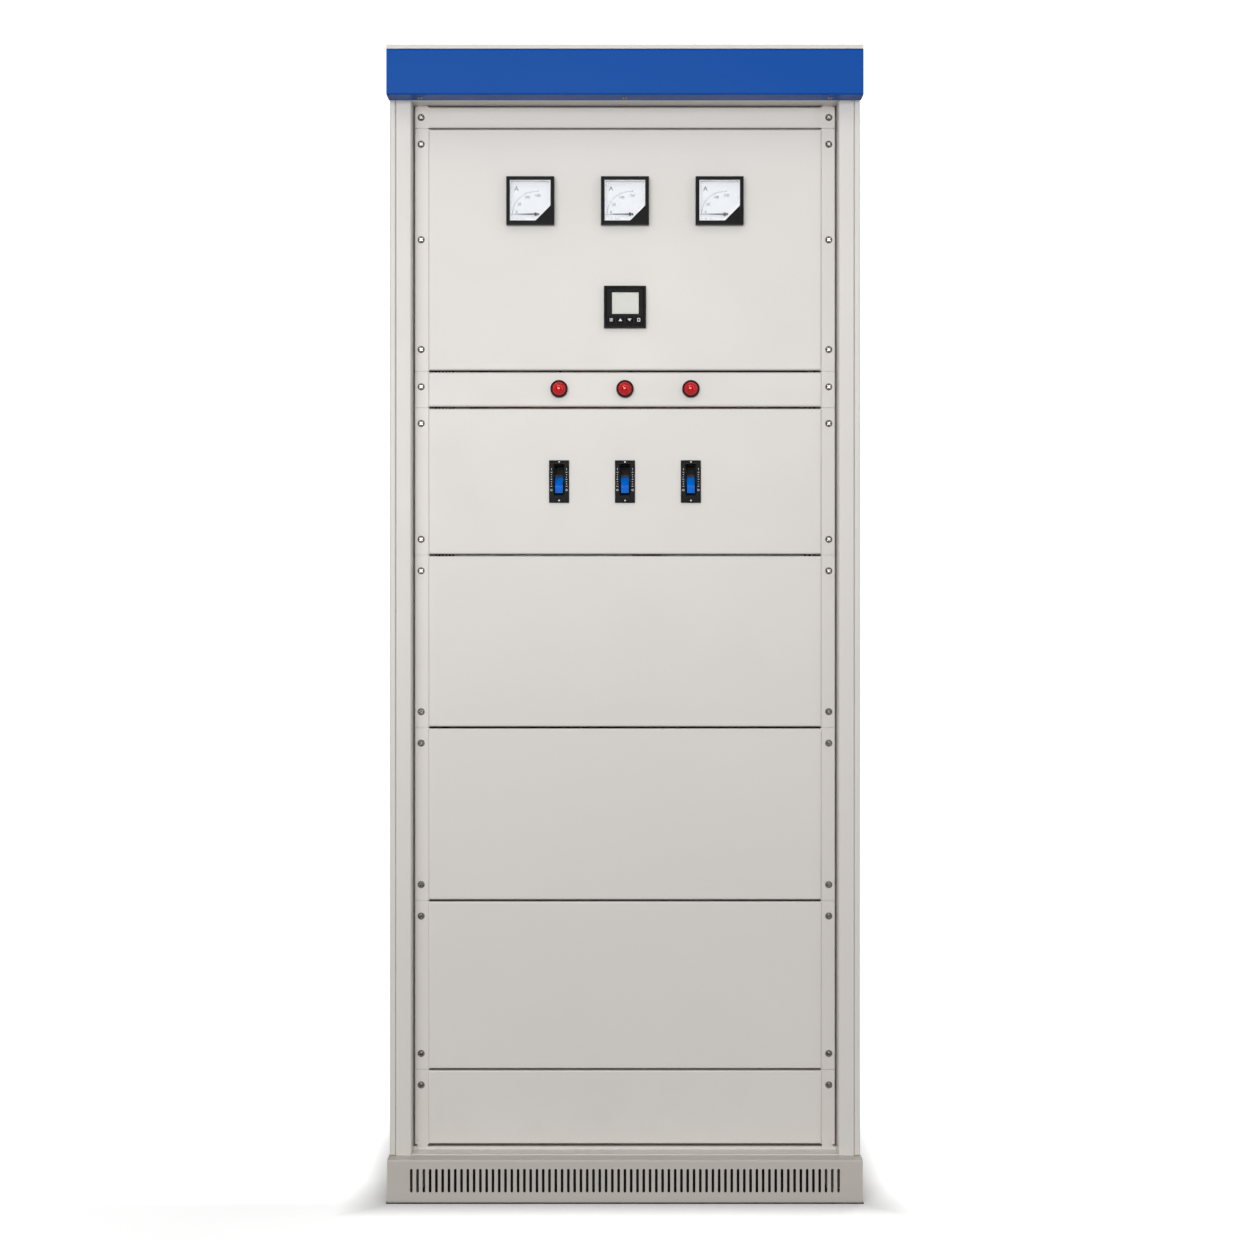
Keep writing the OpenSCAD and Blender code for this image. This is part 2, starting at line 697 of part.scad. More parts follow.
// One phase: a main bar and a dropper to each breaker
module phase_bar(p) {
    block([-bar_size[0] / 2, bar_y, bar_z[p] - bar_size[2] / 2],
        [bar_size[0] / 2, bar_y + bar_size[1], bar_z[p] + bar_size[2] / 2]);
    for (b = [-1, 0, 1]) translate([b * device_pitch + (p - 1) * phase_pitch, 0, 0]) {
        block([-7.5, bar_y - 8, esc_z + 62], [7.5, bar_y - 5, bar_z[p] + 12]);
        block([-7.5, bar_y - 5, bar_z[p] - 10], [7.5, bar_y, bar_z[p] + 10]);
    }
}

module main_busbars() color(copper) for (p = [0, 1, 2]) phase_bar(p);

module busbar_insulators() color([0.5, 0.12, 0.08]) for (p = [0, 1, 2], x = [-310, 310])
    along_y([x, bar_z[p]], 14, bar_y + bar_size[1], plate_y);

module current_transformers() color(black_plastic)
    for (p = [0, 1, 2]) translate([0, 0, bar_z[p]]) difference() {
        union() {
            block([-270, bar_y - 28, -23], [-240, bar_y + 33, 23]);
            block([-262, bar_y + 32, -10], [-248, plate_y, 10]);
        }
        block([-271, bar_y - 2, -16], [-239, bar_y + 7, 16]);
    }

// DIN rail with twelve terminals and three fuse holders
module terminal_strip() color([0.75, 0.75, 0.72]) {
    block([-200, plate_y - 7.5, 1052.5], [200, plate_y, 1087.5]);
    for (i = [0 : 11]) translate([-150 + 6 * i, 0, 0])
        block([-2.7, plate_y - 52, 1048], [2.7, plate_y - 7.5, 1092]);
    for (i = [0 : 2]) translate([20 + 18 * i, 0, 0]) {
        block([-8.6, plate_y - 52, 1030], [8.6, plate_y - 7.5, 1110]);
        block([-8.6, plate_y - 66, 1048], [8.6, plate_y - 51, 1092]);
    }
}

// Bar with a row of holes, held by a bracket on each lower front-to-back rail
module earth_bar() color(copper) difference() {
    union() {
        block([-post_in_x + 3, -190, 120], [post_in_x - 3, -185, 150]);
        both_sides() block([post_in_x - 3, -190, 85], [post_in_x, -150, 150]);
        along_y([0, 135], 5, -190, -160);
    }
    for (i = [-4 : 4]) if (i != 0) along_y([i * 70, 135], 4.25, -190 - cut, -185 + cut);
}

// ---------- control wires ----------

wire_r = 1.6;
bend_r = 8; // centre-line radius of a wire's bends

function unit(v) = v / norm(v);

// Rod from a to b, which lie along one of the three axes
module rod(a, b) {
    d = unit(b - a);
    translate(a) rotate([d[2] < 0 ? 180 : -90 * d[1], 90 * d[0], 0])
        cylinder(r = wire_r, h = norm(b - a), $fn = 16);
}

// Quarter bend at p, arriving along u and leaving along v
module bend(p, u, v) {
    w = -cross(v, u);
    c = p - bend_r * u + bend_r * v;
    multmatrix([[-v[0], u[0], w[0], c[0]], [-v[1], u[1], w[1], c[1]],
        [-v[2], u[2], w[2], c[2]]])
        rotate_extrude(angle = 90) translate([bend_r, 0]) circle(r = wire_r, $fn = 16);
}

// Wire along a route whose legs lie along the axes
module wire(route) for (i = [0 : len(route) - 2]) let (
        last = len(route) - 2,
        u = unit(route[i + 1] - route[i]),
        a = route[i] + (i == 0 ? 0 : bend_r) * u,
        b = route[i + 1] - (i == last ? 0 : bend_r) * u) {
    rod(a, b);
    if (i < last) bend(route[i + 1], u, unit(route[i + 2] - route[i + 1]));
}

// Two wires from each ammeter down the left side to the terminals, nested so that none cross
module ammeter_wires() for (m = [0 : 2], s = [0, 1])
    let (i = 2 * m + s, x = ammeter_x[m] + (s == 0 ? -18 : 18)) wire([
        [x, -185.6, ammeter_z], [x, -174, ammeter_z], [x, -174, 1640 - 6 * i],
        [-330 + 6 * i, -174, 1640 - 6 * i], [-330 + 6 * i, -174, 1000 + 6 * i],
        [-330 + 6 * i, -150, 1000 + 6 * i], [-84 - 12 * i, -150, 1000 + 6 * i],
        [-84 - 12 * i, -150, 1047.6]]);

// One wire from each lamp down the right side to a fuse holder
module lamp_wires() for (i = [0 : 2]) let (x = (1 - i) * device_pitch)
    wire([[x, -199.6, lamps_z], [x, -182, lamps_z], [x, -182, lamps_z + 28 + 8 * i],
        [314 + 8 * i, -182, lamps_z + 28 + 8 * i], [314 + 8 * i, -182, 1016 - 8 * i],
        [314 + 8 * i, -150, 1016 - 8 * i], [56 - 18 * i, -150, 1016 - 8 * i],
        [56 - 18 * i, -150, 1029.6]]);

module control_wires() color([0.12, 0.12, 0.14]) {
    ammeter_wires();
    lamp_wires();
}

// ---------- rear door ----------

module rear_door() color(paint) difference() {
    union() {
        difference() {
            mirror([0, 1, 0]) plan(door_z[0], door_z[1])
                round_front(-door_out_y, -door_in_y, door_x[0], door_x[1], 3);
            block([door_x[0] + skin, door_in_y - cut, door_z[0] + skin],
                [door_x[1] - skin, door_out_y - skin, door_z[1] - skin]);
        }
        // Plate around the handle
        block([handle_at[0] - 20, door_out_y - skin - cut / 2, handle_at[1] - 70],
            [handle_at[0] + 20, door_out_y + 3, handle_at[1] + 35]);
    }
    along_y(handle_at, spindle_r + run_gap, door_in_y - cut, door_out_y + 5);
    // Air outlet slots near the top
    for (c = [-1, 0, 1], r = [0 : 7]) translate([c * 180 - 6, 0, 1700 + 16 * r])
        block([-70, door_out_y - 5, 0], [70, door_out_y + cut, 5]);
}

// Fixed half of a lift-off hinge: leaf on the rear post, lower knuckle and pin
module hinge_fixed(z) {
    x = hinge_at[0];
    y = hinge_at[1];
    translate([0, 0, z]) {
        block([post_in_x + 2, back_y, -30], [x + knuckle_r, back_y + 3, 0]);
        block([x + knuckle_r - 3, back_y, -30], [x + knuckle_r, y, 0]);
        translate([x, y, -30]) cylinder(r = knuckle_r, h = 30);
        translate([x, y, -30]) cylinder(r = pin_r, h = 56);
    }
}

module door_hinges_fixed() color(zinc) for (z = hinge_z) hinge_fixed(z);

// Moving half: leaf on the door's outer face and the upper knuckle
module hinge_moving(z) {
    x = hinge_at[0];
    y = hinge_at[1];
    translate([0, 0, z + 0.5]) difference() {
        union() {
            block([x - 40, door_out_y, 0], [x, y + knuckle_r, 30]);
            translate([x, y, 0]) cylinder(r = knuckle_r, h = 30);
        }
        translate([x, y, -cut]) cylinder(r = pin_r + run_gap, h = 28);
    }
}

module door_hinges_moving() color(zinc) for (z = hinge_z) hinge_moving(z);

// Lever on a spindle through the door, level when the door is unlocked
module door_handle() color(black_plastic) {
    y = door_out_y + 3.2;
    along_y(handle_at, spindle_r, cam_y, y + cut);
    along_y(handle_at, 13, y, y + 12);
    translate([handle_at[0], 0, handle_at[1]]) {
        plate_xz(y + 10, y + 21.8) polygon([[-10, -9], [100, -7], [104, 0], [100, 7], [-10, 9]]);
    }
}

// Cam on the spindle's inner end, hanging down when the door is unlocked
module lock_cam() color(zinc) translate([handle_at[0], 0, handle_at[1]]) difference() {
    plate_xz(cam_y, cam_y + 4) polygon([[-10, 12], [10, 12], [10, -36], [6, -40], [-6, -40], [-10, -36]]);
    along_y([0, 0], spindle_r, cam_y - cut, cam_y + 5);
}

// ---------- assembly ----------

color(paint) mirror([1, 0, 0]) post();  // post_front_left
color(paint) post();  // post_front_right
color(paint) {  // post_rear_left
    rotate([0, 0, 180]) post();
    keeper();
}
color(paint) mirror([0, 1, 0]) post();  // post_rear_right
top_rail_front();
bottom_rail_front();
rear_rails();
depth_rails();
panel_uprights();
mirror([1, 0, 0]) side_panel();  // side_panel_left
side_panel();  // side_panel_right
roof_cover();
header_fascia();
plinth_grille();
plinth_channels();
floor_plates();
trim_strip();
meter_panel();
lamp_panel();
breaker_panel();
panel(middle_z, upper_z, upper_screws);  // blank_panel_upper
panel(lower_z, middle_z, middle_screws);  // blank_panel_middle
panel(bottom_z, lower_z, lower_screws);  // blank_panel_lower
bottom_panel();
panel_screws();
cover_screws();
ammeter_housings();
ammeter_dials();
ammeter_windows();
needle(ammeter_x[0]);  // needle_left
needle(ammeter_x[1]);  // needle_centre
needle(ammeter_x[2]);  // needle_right
zero_screw(ammeter_x[0]);  // zero_screw_left
zero_screw(ammeter_x[1]);  // zero_screw_centre
zero_screw(ammeter_x[2]);  // zero_screw_right
power_meter_housing();
power_meter_screen();
meter_button(0);  // meter_button_1
meter_button(1);  // meter_button_2
meter_button(2);  // meter_button_3
meter_button(3);  // meter_button_4
lamp_bodies();
lamp_lenses();
breaker_cases();
breaker_escutcheons();
breaker_handle(-device_pitch);  // breaker_handle_left
breaker_handle(0);  // breaker_handle_centre
breaker_handle(device_pitch);  // breaker_handle_right
device_plate();
main_busbars();
busbar_insulators();
current_transformers();
terminal_strip();
earth_bar();
control_wires();
rear_door();
door_hinges_fixed();
door_hinges_moving();
door_handle();
lock_cam();
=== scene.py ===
"""The looks of a free-standing switchboard cabinet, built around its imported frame.

Metres throughout. X runs to the right, Y to the back and Z up from the floor.
"""

import json
import math

import bmesh
import bpy
from mathutils import Matrix, Vector


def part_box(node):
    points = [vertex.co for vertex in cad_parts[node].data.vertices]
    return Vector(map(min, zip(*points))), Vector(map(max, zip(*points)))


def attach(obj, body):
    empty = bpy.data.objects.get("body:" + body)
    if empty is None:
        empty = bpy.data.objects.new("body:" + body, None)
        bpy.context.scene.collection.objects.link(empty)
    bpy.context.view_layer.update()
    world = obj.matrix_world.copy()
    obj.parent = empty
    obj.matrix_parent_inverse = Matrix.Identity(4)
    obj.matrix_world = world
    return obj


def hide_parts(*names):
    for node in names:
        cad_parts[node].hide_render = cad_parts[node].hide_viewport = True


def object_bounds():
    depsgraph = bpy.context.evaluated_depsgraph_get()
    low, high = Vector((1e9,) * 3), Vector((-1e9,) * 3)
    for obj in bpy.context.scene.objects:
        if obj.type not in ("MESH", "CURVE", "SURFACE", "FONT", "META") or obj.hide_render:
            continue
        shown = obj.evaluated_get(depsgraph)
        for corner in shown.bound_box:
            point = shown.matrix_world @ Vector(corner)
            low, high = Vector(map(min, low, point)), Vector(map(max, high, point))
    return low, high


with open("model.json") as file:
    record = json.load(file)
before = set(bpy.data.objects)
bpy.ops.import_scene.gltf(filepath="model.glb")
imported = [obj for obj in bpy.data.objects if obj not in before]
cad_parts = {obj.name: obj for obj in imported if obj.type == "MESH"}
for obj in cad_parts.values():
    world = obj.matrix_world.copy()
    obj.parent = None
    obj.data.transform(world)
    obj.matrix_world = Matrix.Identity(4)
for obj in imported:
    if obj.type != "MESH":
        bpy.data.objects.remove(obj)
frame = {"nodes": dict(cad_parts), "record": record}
cad_low, cad_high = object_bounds()

MM = 0.001
nodes = frame["nodes"]


# ---------- shader values ----------


class Value:
    """A shader value that varies over a surface. Arithmetic on it adds Math nodes."""

    def __init__(self, finish, socket):
        self.finish = finish
        self.socket = socket

    def maths(self, operation, *values):
        return self.finish.node("ShaderNodeMath", {"operation": operation}, dict(enumerate(values)))

    def __add__(self, other):
        return self.maths("ADD", self, other)

    def __sub__(self, other):
        return self.maths("SUBTRACT", self, other)

    def __rsub__(self, other):
        return self.maths("SUBTRACT", other, self)

    def __mul__(self, other):
        return self.maths("MULTIPLY", self, other)

    def __truediv__(self, other):
        return self.maths("DIVIDE", self, other)

    def __lt__(self, other):
        return self.maths("LESS_THAN", self, other)

    def __mod__(self, other):
        return self.maths("FLOORED_MODULO", self, other)

    def __abs__(self):
        return self.maths("ABSOLUTE", self)

    __radd__ = __add__
    __rmul__ = __mul__

    def clamped(self, low, high):
        """The value's stretch from low to high, as 0 to 1."""
        inputs = {"Value": self, "From Min": low, "From Max": high}
        return self.finish.node("ShaderNodeMapRange", {"clamp": True}, inputs)


class Finish:
    """A material being made, with one Principled shader at its end."""

    def __init__(self, name, colour, roughness, fixed=None):
        self.material = bpy.data.materials.new(name)
        self.material.use_nodes = True
        self.tree = self.material.node_tree
        self.shader = self.tree.nodes["Principled BSDF"]
        self.place = self.node("ShaderNodeTexCoord", output="Object")
        self.feed(self.shader, {"Base Color": (*colour, 1), "Roughness": roughness})
        self.feed(self.shader, fixed or {})
        self.colour = colour

    def feed(self, node, inputs):
        """Sets or links each of a node's inputs."""
        for key, value in inputs.items():
            socket = node.inputs[key]
            if isinstance(value, Value):
                self.tree.links.new(value.socket, socket)
            else:
                socket.default_value = value

    def node(self, kind, settings=None, inputs=None, output=0):
        """Adds a node: its settings first, then its sockets."""
        made = self.tree.nodes.new(kind)
        for key, value in (settings or {}).items():
            setattr(made, key, value)
        self.feed(made, inputs or {})
        return Value(self, made.outputs[output])

    def noise(self, scale, detail=2, stretch=(1, 1, 1)):
        """Noise with features about 1/scale metres across, longer where stretch is under 1."""
        place = self.node("ShaderNodeMapping", inputs={"Vector": self.place, "Scale": stretch})
        return self.node("ShaderNodeTexNoise", inputs={"Vector": place, "Scale": scale, "Detail": detail})

    def cells(self, scale):
        """Distance within random cells about 1/scale metres across."""
        return self.node("ShaderNodeTexVoronoi", inputs={"Vector": self.place, "Scale": scale})

    def axis(self, letter):
        """One coordinate of the place on the surface."""
        output = "XYZ".index(letter)
        return self.node("ShaderNodeSeparateXYZ", inputs={"Vector": self.place}, output=output)

    def mix(self, mask, low, high):
        """The colour low where mask is 0 and high where it is 1."""
        inputs = {0: mask}
        for socket, colour in ((6, low), (7, high)):
            inputs[socket] = colour if isinstance(colour, Value) else (*colour, 1)
        return self.node("ShaderNodeMix", {"data_type": "RGBA"}, inputs, output=2)

    def shade(self, factor):
        """The finish's own colour, darker or lighter by a factor."""
        return tuple(min(c * factor, 1) for c in self.colour)

    def paint(self, colour=None, roughness=None):
        """Feeds a varying colour and roughness to the shader."""
        inputs = {"Base Color": colour, "Roughness": roughness}
        self.feed(self.shader, {key: value for key, value in inputs.items() if value is not None})

    def bump(self, height, distance, strength=1.0):
        """Raises the surface by height times distance in metres."""
        inputs = {"Height": height, "Distance": distance, "Strength": strength}
        self.feed(self.shader, {"Normal": self.node("ShaderNodeBump", inputs=inputs)})


# ---------- finishes ----------


def powder_coat(name, colour, roughness, gloss=0.5):
    """Baked powder paint: an orange-peel skin with a faint mottle and a little dust low down."""
    f = Finish(name, colour, roughness, {"Specular IOR Level": gloss})
    peel = f.noise(420, 2) + 0.35 * f.noise(1500, 2)
    mottle = f.noise(3.2, 3) * 0.6 + f.noise(900, 1) * 0.4
    dust = (1 - f.axis("Z").clamped(0.0, 0.3)) * f.noise(26, 4).clamped(0.45, 0.8) * 0.1
    painted = f.mix(mottle.clamped(0.3, 0.7), f.shade(0.975), f.shade(1.02))
    f.paint(f.mix(dust, painted, (0.42, 0.38, 0.33)), f.noise(14, 4) * 0.12 + (roughness - 0.06))
    f.bump(peel, 0.00006, 0.6)
    return f.material


def zinc_plate():
    """Passivated zinc: crystals a few millimetres across in slightly different greys."""
    f = Finish("zinc_plate", (0.62, 0.64, 0.66), 0.36, {"Metallic": 1.0})
    spangle = f.cells(160).clamped(0.0, 0.006) * 0.5 + f.noise(60, 4) * 0.5
    f.paint(f.mix(spangle, f.shade(0.78), f.shade(1.08)), f.noise(90, 3) * 0.2 + 0.27)
    f.bump(f.noise(700, 3), 0.00003)
    return f.material


def screw_steel():
    """Bright nickel-plated screws with fine turning marks and a few dull spots."""
    f = Finish("screw_steel", (0.36, 0.345, 0.32), 0.2, {"Metallic": 1.0})
    dull = f.noise(420, 4).clamped(0.5, 0.75)
    f.paint(f.mix(dull, f.shade(1.0), f.shade(0.62)), dull * 0.25 + 0.13)
    f.bump(f.noise(2600, 2), 0.000015)
    return f.material


def black_plastic(name, grey, roughness):
    """Moulded black plastic with a fine spark-eroded grain."""
    f = Finish(name, (grey, grey * 1.02, grey * 1.08), roughness, {"Specular IOR Level": 0.1})
    grain = f.noise(2300, 3)
    f.paint(f.mix(f.noise(45, 4), f.shade(0.8), f.shade(1.35)), grain * 0.16 + (roughness - 0.08))
    f.bump(grain, 0.00004)
    return f.material


def moulded(name, colour, roughness, coat=0.0):
    """Coloured plastic with faint flow marks."""
    f = Finish(name, colour, roughness, {"Coat Weight": coat, "Coat Roughness": 0.08})
    flow = f.noise(55, 4, stretch=(1, 1, 0.35))
    shine = f.noise(300, 3) * 0.12 + (roughness - 0.06)
    f.paint(f.mix(flow.clamped(0.3, 0.7), f.shade(0.86), f.shade(1.12)), shine)
    f.bump(f.noise(1200, 2), 0.00002)
    return f.material


def red_lens():
    """Glossy translucent red acrylic, its red a little paler or deeper at random."""
    fixed = {"Specular IOR Level": 0.2, "Coat Weight": 1.0, "Coat Roughness": 0.05, "Coat IOR": 1.6}
    f = Finish("red_lens", (0.62, 0.0, 0.003), 0.1, fixed)
    depth = f.noise(60, 2).clamped(0.3, 0.75)
    f.paint(f.mix(depth, f.shade(0.92), f.shade(1.08)), f.noise(500, 2) * 0.04 + 0.06)
    return f.material


def dial_face():
    """Satin white lacquer, faintly blue, with a soft roller texture."""
    f = Finish("dial_face", (0.92, 0.94, 0.98), 0.5)
    f.paint(f.mix(f.noise(18, 3), f.shade(0.97), f.shade(1.04)), f.noise(900, 2) * 0.2 + 0.35)
    f.bump(f.noise(1800, 2), 0.00001)
    return f.material


def clear_acrylic(name, alpha):
    """Thin clear acrylic with a few wipe marks."""
    f = Finish(name, (0.93, 0.96, 1.0), 0.04, {"Alpha": alpha, "Specular IOR Level": 0.5})
    f.paint(roughness=f.noise(70, 4, stretch=(0.3, 1, 1)).clamped(0.55, 0.9) * 0.12 + 0.03)
    return f.material


def display_glass():
    """Reflective liquid-crystal display, switched off, with its cell grid just showing."""
    f = Finish("display_glass", (0.44, 0.45, 0.39), 0.25, {"Coat Weight": 0.2, "Coat Roughness": 0.1})
    cell = 0.0011
    gap = 0.12
    columns = (f.axis("X") / cell) % 1 < gap
    rows = (f.axis("Z") / cell) % 1 < gap
    lit = f.mix(f.noise(30, 2), f.shade(0.94), f.shade(1.06))
    f.paint(f.mix((columns + rows).clamped(0, 1) * 0.16, lit, f.shade(0.55)), f.noise(400, 2) * 0.1 + 0.17)
    return f.material


def bare_copper():
    """Rolled copper bar with brown tarnish and draw lines along its length."""
    f = Finish("bare_copper", (0.83, 0.42, 0.25), 0.32, {"Metallic": 1.0})
    tarnish = f.noise(22, 5).clamped(0.42, 0.75)
    lines = f.noise(900, 3, stretch=(0.02, 1, 1))
    f.paint(f.mix(tarnish * 0.8, f.shade(1.0), (0.34, 0.15, 0.08)), lines * 0.2 + tarnish * 0.2 + 0.18)
    f.bump(lines, 0.00002)
    return f.material


def printed(name, colour):
    """Screen-printed ink with a slightly uneven edge to its gloss."""
    f = Finish(name, colour, 0.5)
    f.paint(f.mix(f.noise(600, 3), f.shade(0.85), f.shade(1.15)), f.noise(900, 2) * 0.2 + 0.4)
    return f.material


def studio(name, colour, roughness):
    """Smooth studio paper, self-lit further out as painted light and not at all under the cabinet, which
    leaves a painted contact shadow.
    """
    f = Finish(name, colour, roughness, {"Specular IOR Level": 0.2, "Emission Strength": 1.0})
    beyond_x = abs(f.axis("X")) - cad_high.x
    beyond_y = abs(f.axis("Y")) - cad_high.y
    beyond = beyond_x.maths("MAXIMUM", beyond_x, beyond_y)
    # Painted light: behind makes the floor beside the cabinet, back from its front, glow over the shadow
    # that the cabinet casts there.
    behind = f.axis("Y").clamped(-0.33, -0.15) * beyond_x.clamped(0.0, 0.1)
    # Painted shadow: no glow at the cabinet's foot, rising to half within 8 cm, is a painted contact
    # shadow; far out the floor glows fully.
    painted_glow_and_contact_shadow = beyond.clamped(-0.004, 0.08) * 0.5 + (beyond.clamped(0.5, 1.6) + behind).clamped(0, 1) * 0.5
    f.paint(f.mix(f.noise(2, 2), f.shade(0.995), f.shade(1.0)))
    f.feed(f.shader, {"Emission Color": f.mix(painted_glow_and_contact_shadow, (0, 0, 0), (1, 1, 1))})
    return f.material


coat_light = powder_coat("powder_coat_light", (0.735, 0.705, 0.668), 0.34)
coat_plinth = powder_coat("powder_coat_plinth", (0.55, 0.51, 0.465), 0.4)
coat_blue = powder_coat("powder_coat_blue", (0.001, 0.079, 0.39), 0.36, gloss=0.1)
zinc = zinc_plate()
steel = screw_steel()
black_case = black_plastic("black_case", 0.0045, 0.42)
black_gloss = black_plastic("black_gloss", 0.005, 0.28)
black_cable = black_plastic("black_cable", 0.022, 0.5)
grey_plastic = moulded("grey_plastic", (0.42, 0.43, 0.42), 0.45)
blue_handle = moulded("blue_handle", (0.0, 0.185, 0.86), 0.3, coat=0.1)
dark_shutter = moulded("dark_shutter", (0.06, 0.05, 0.042), 0.35)
resin = moulded("insulator_resin", (0.24, 0.03, 0.02), 0.3, coat=0.5)
rubber = black_plastic("gasket_rubber", 0.02, 0.75)
# Painted highlight: the bevel by the display is paler than the display, standing for light caught on its
# edge.
screen_edge_painted_highlight = moulded("screen_edge_painted_highlight", (0.52, 0.54, 0.47), 0.3)
acrylic_edge = moulded("acrylic_edge", (0.86, 0.89, 0.93), 0.2, coat=0.6)
lens_red = red_lens()
dial_white = dial_face()
window_clear = clear_acrylic("window_clear", 0.06)
lcd = display_glass()
copper = bare_copper()
ink_black = printed("ink_black", (0.01, 0.01, 0.012))
ink_white = printed("ink_white", (0.78, 0.79, 0.78))

FINISHES = {
    "powder_coat_light": coat_light,
    "powder_coat_plinth": coat_plinth,
    "powder_coat_blue": coat_blue,
    "zinc_steel": zinc,
    "screw_steel": steel,
    "black_plastic": black_case,
    "grey_plastic": grey_plastic,
    "dial_paint": dial_white,
    "window": window_clear,
    "lcd": lcd,
    "red_lens": lens_red,
    "blue_plastic": blue_handle,
    "copper": copper,
    "insulator_resin": resin,
    "wire_sheath": black_cable,
}


# ---------- carried-over nodes ----------

# Radius that the edges of each kind of piece are broken by
EDGE = {
    "powder_coat_light": 0.45 * MM,
    "powder_coat_plinth": 0.45 * MM,
    "powder_coat_blue": 0.5 * MM,
    "zinc_steel": 0.3 * MM,
    "screw_steel": 0.15 * MM,
    "black_plastic": 0.6 * MM,
    "grey_plastic": 0.3 * MM,
    "lcd": 0.1 * MM,
    "blue_plastic": 0.8 * MM,
    "copper": 0.4 * MM,
}
# The same for pieces, by the start of their names, that are finer or rounder than their kind
SOFT_EDGE = {
    "zero_screw": 0.2 * MM,
    "needle": 0.1 * MM,
    "meter_button": 0.7 * MM,
    "door_handle": 2.5 * MM,
    "ammeter_housings": 1.0 * MM,
    "power_meter_housing": 0.9 * MM,
    "plinth_grille": 0.3 * MM,
}


CORNER = 40  # degrees between two faces from which their edge is broken


def break_edges(piece, width):
    """Joins the piece's faces, rounds its edges and evens its shading."""
    weld = piece.modifiers.new("weld", "WELD")
    weld.merge_threshold = 0.002 * MM
    bevel = piece.modifiers.new("broken_edges", "BEVEL")
    bevel.width = width
    bevel.segments = 3
    bevel.limit_method = "ANGLE"
    bevel.angle_limit = math.radians(CORNER)
    bevel.use_clamp_overlap = True
    bevel.miter_outer = "MITER_ARC"
    shading = piece.modifiers.new("even_shading", "WEIGHTED_NORMAL")
    shading.keep_sharp = False


def dress_frame():
    """Gives every carried-over node its finish and broken edges."""
    slot_of = {part["node"]: part["material_slot"] for part in frame["record"]["subparts"]}
    for name, piece in nodes.items():
        slot = slot_of[name]
        piece.data.materials.clear()
        piece.data.materials.append(FINISHES[slot])
        for face in piece.data.polygons:
            face.use_smooth = True
        width = EDGE.get(slot)
        for stem, softer in SOFT_EDGE.items():
            if name.startswith(stem):
                width = softer
        if width:
            break_edges(piece, width)


dress_frame()


# ---------- mesh helpers ----------


def add_prism(mesh, outline, front, back):
    """Adds an (x, z) outline, anticlockwise from the front, stretched from y = front to y = back."""
    near = [mesh.verts.new((x, front, z)) for x, z in outline]
    far = [mesh.verts.new((x, back, z)) for x, z in outline]
    count = len(outline)
    mesh.faces.new(near)
    mesh.faces.new(far[::-1])
    for i in range(count):
        j = (i + 1) % count
        mesh.faces.new((near[j], near[i], far[i], far[j]))


def add_ring(mesh, outer, inner, front, back):
    """Adds the band between two (x, z) outlines with the same number of points."""
    rows = [[mesh.verts.new((x, y, z)) for x, z in outline]
            for outline, y in ((outer, front), (inner, front), (inner, back), (outer, back))]
    count = len(outer)
    for row in range(4):
        a, b = rows[row], rows[(row + 1) % 4]
        for i in range(count):
            j = (i + 1) % count
            mesh.faces.new((a[i], a[j], b[j], b[i]))


def add_lathe(mesh, profile, place, turn=None, sides=32):
    """Adds a profile of (radius, height) points turned about Z, then put in place."""
    rings = []
    for radius, height in profile:
        if radius < 1e-9:
            rings.append([mesh.verts.new((0, 0, height))])
            continue
        angles = [2 * math.pi * k / sides for k in range(sides)]
        rings.append([mesh.verts.new((radius * math.cos(a), radius * math.sin(a), height))
                      for a in angles])
    for low, high in zip(rings, rings[1:]):
        for k in range(sides):
            n = (k + 1) % sides
            corners = [low[k % len(low)], low[n % len(low)], high[n % len(high)], high[k % len(high)]]
            unique = list(dict.fromkeys(corners))
            if len(unique) > 2:
                mesh.faces.new(unique)
    verts = [v for ring in rings for v in ring]
    matrix = Matrix.Translation(place) @ (turn or Matrix.Identity(4))
    bmesh.ops.transform(mesh, matrix=matrix, verts=verts)


def add_long(mesh, outline, start, end, lay):
    """Adds an outline stretched from start to end, its three coordinates laid out as lay says.

    lay is "yzx" for a (y, z) outline stretched along X, or "xyz" for an (x, y) one along Z.
    """
    first = len(mesh.verts)
    add_prism(mesh, outline, start, end)
    mesh.verts.ensure_lookup_table()
    for vert in mesh.verts[first:]:
        a, depth, b = vert.co
        vert.co = (depth, a, b) if lay == "yzx" else (a, b, depth)


def add_nut(mesh, place, turn, radius, height, bolt):
    """Adds a washer, a hexagon nut and the bolt's end standing out of it."""
    rim = radius * 1.25
    thick = 1 * MM  # of the washer
    add_lathe(mesh, [(bolt, 0), (rim, 0), (rim, thick), (bolt, thick)], place, turn, 24)
    top = thick + height
    add_lathe(mesh, [(bolt, thick), (radius, thick), (radius, top), (bolt, top)], place, turn, 6)
    end = top + bolt * 0.8
    thread = bolt * 0.98
    shank = [(thread, 0.9 * MM), (thread, end - 0.4 * MM), (bolt * 0.75, end), (0, end)]
    add_lathe(mesh, shank, place, turn, 20)


def box_outline(x, z, width, height):
    """An upright rectangle about (x, z)."""
    w, h = width / 2, height / 2
    return [(x - w, z - h), (x + w, z - h), (x + w, z + h), (x - w, z + h)]


def disc_outline(x, z, radius, sides=24):
    angles = [2 * math.pi * k / sides for k in range(sides)]
    return [(x + radius * math.cos(a), z + radius * math.sin(a)) for a in angles]


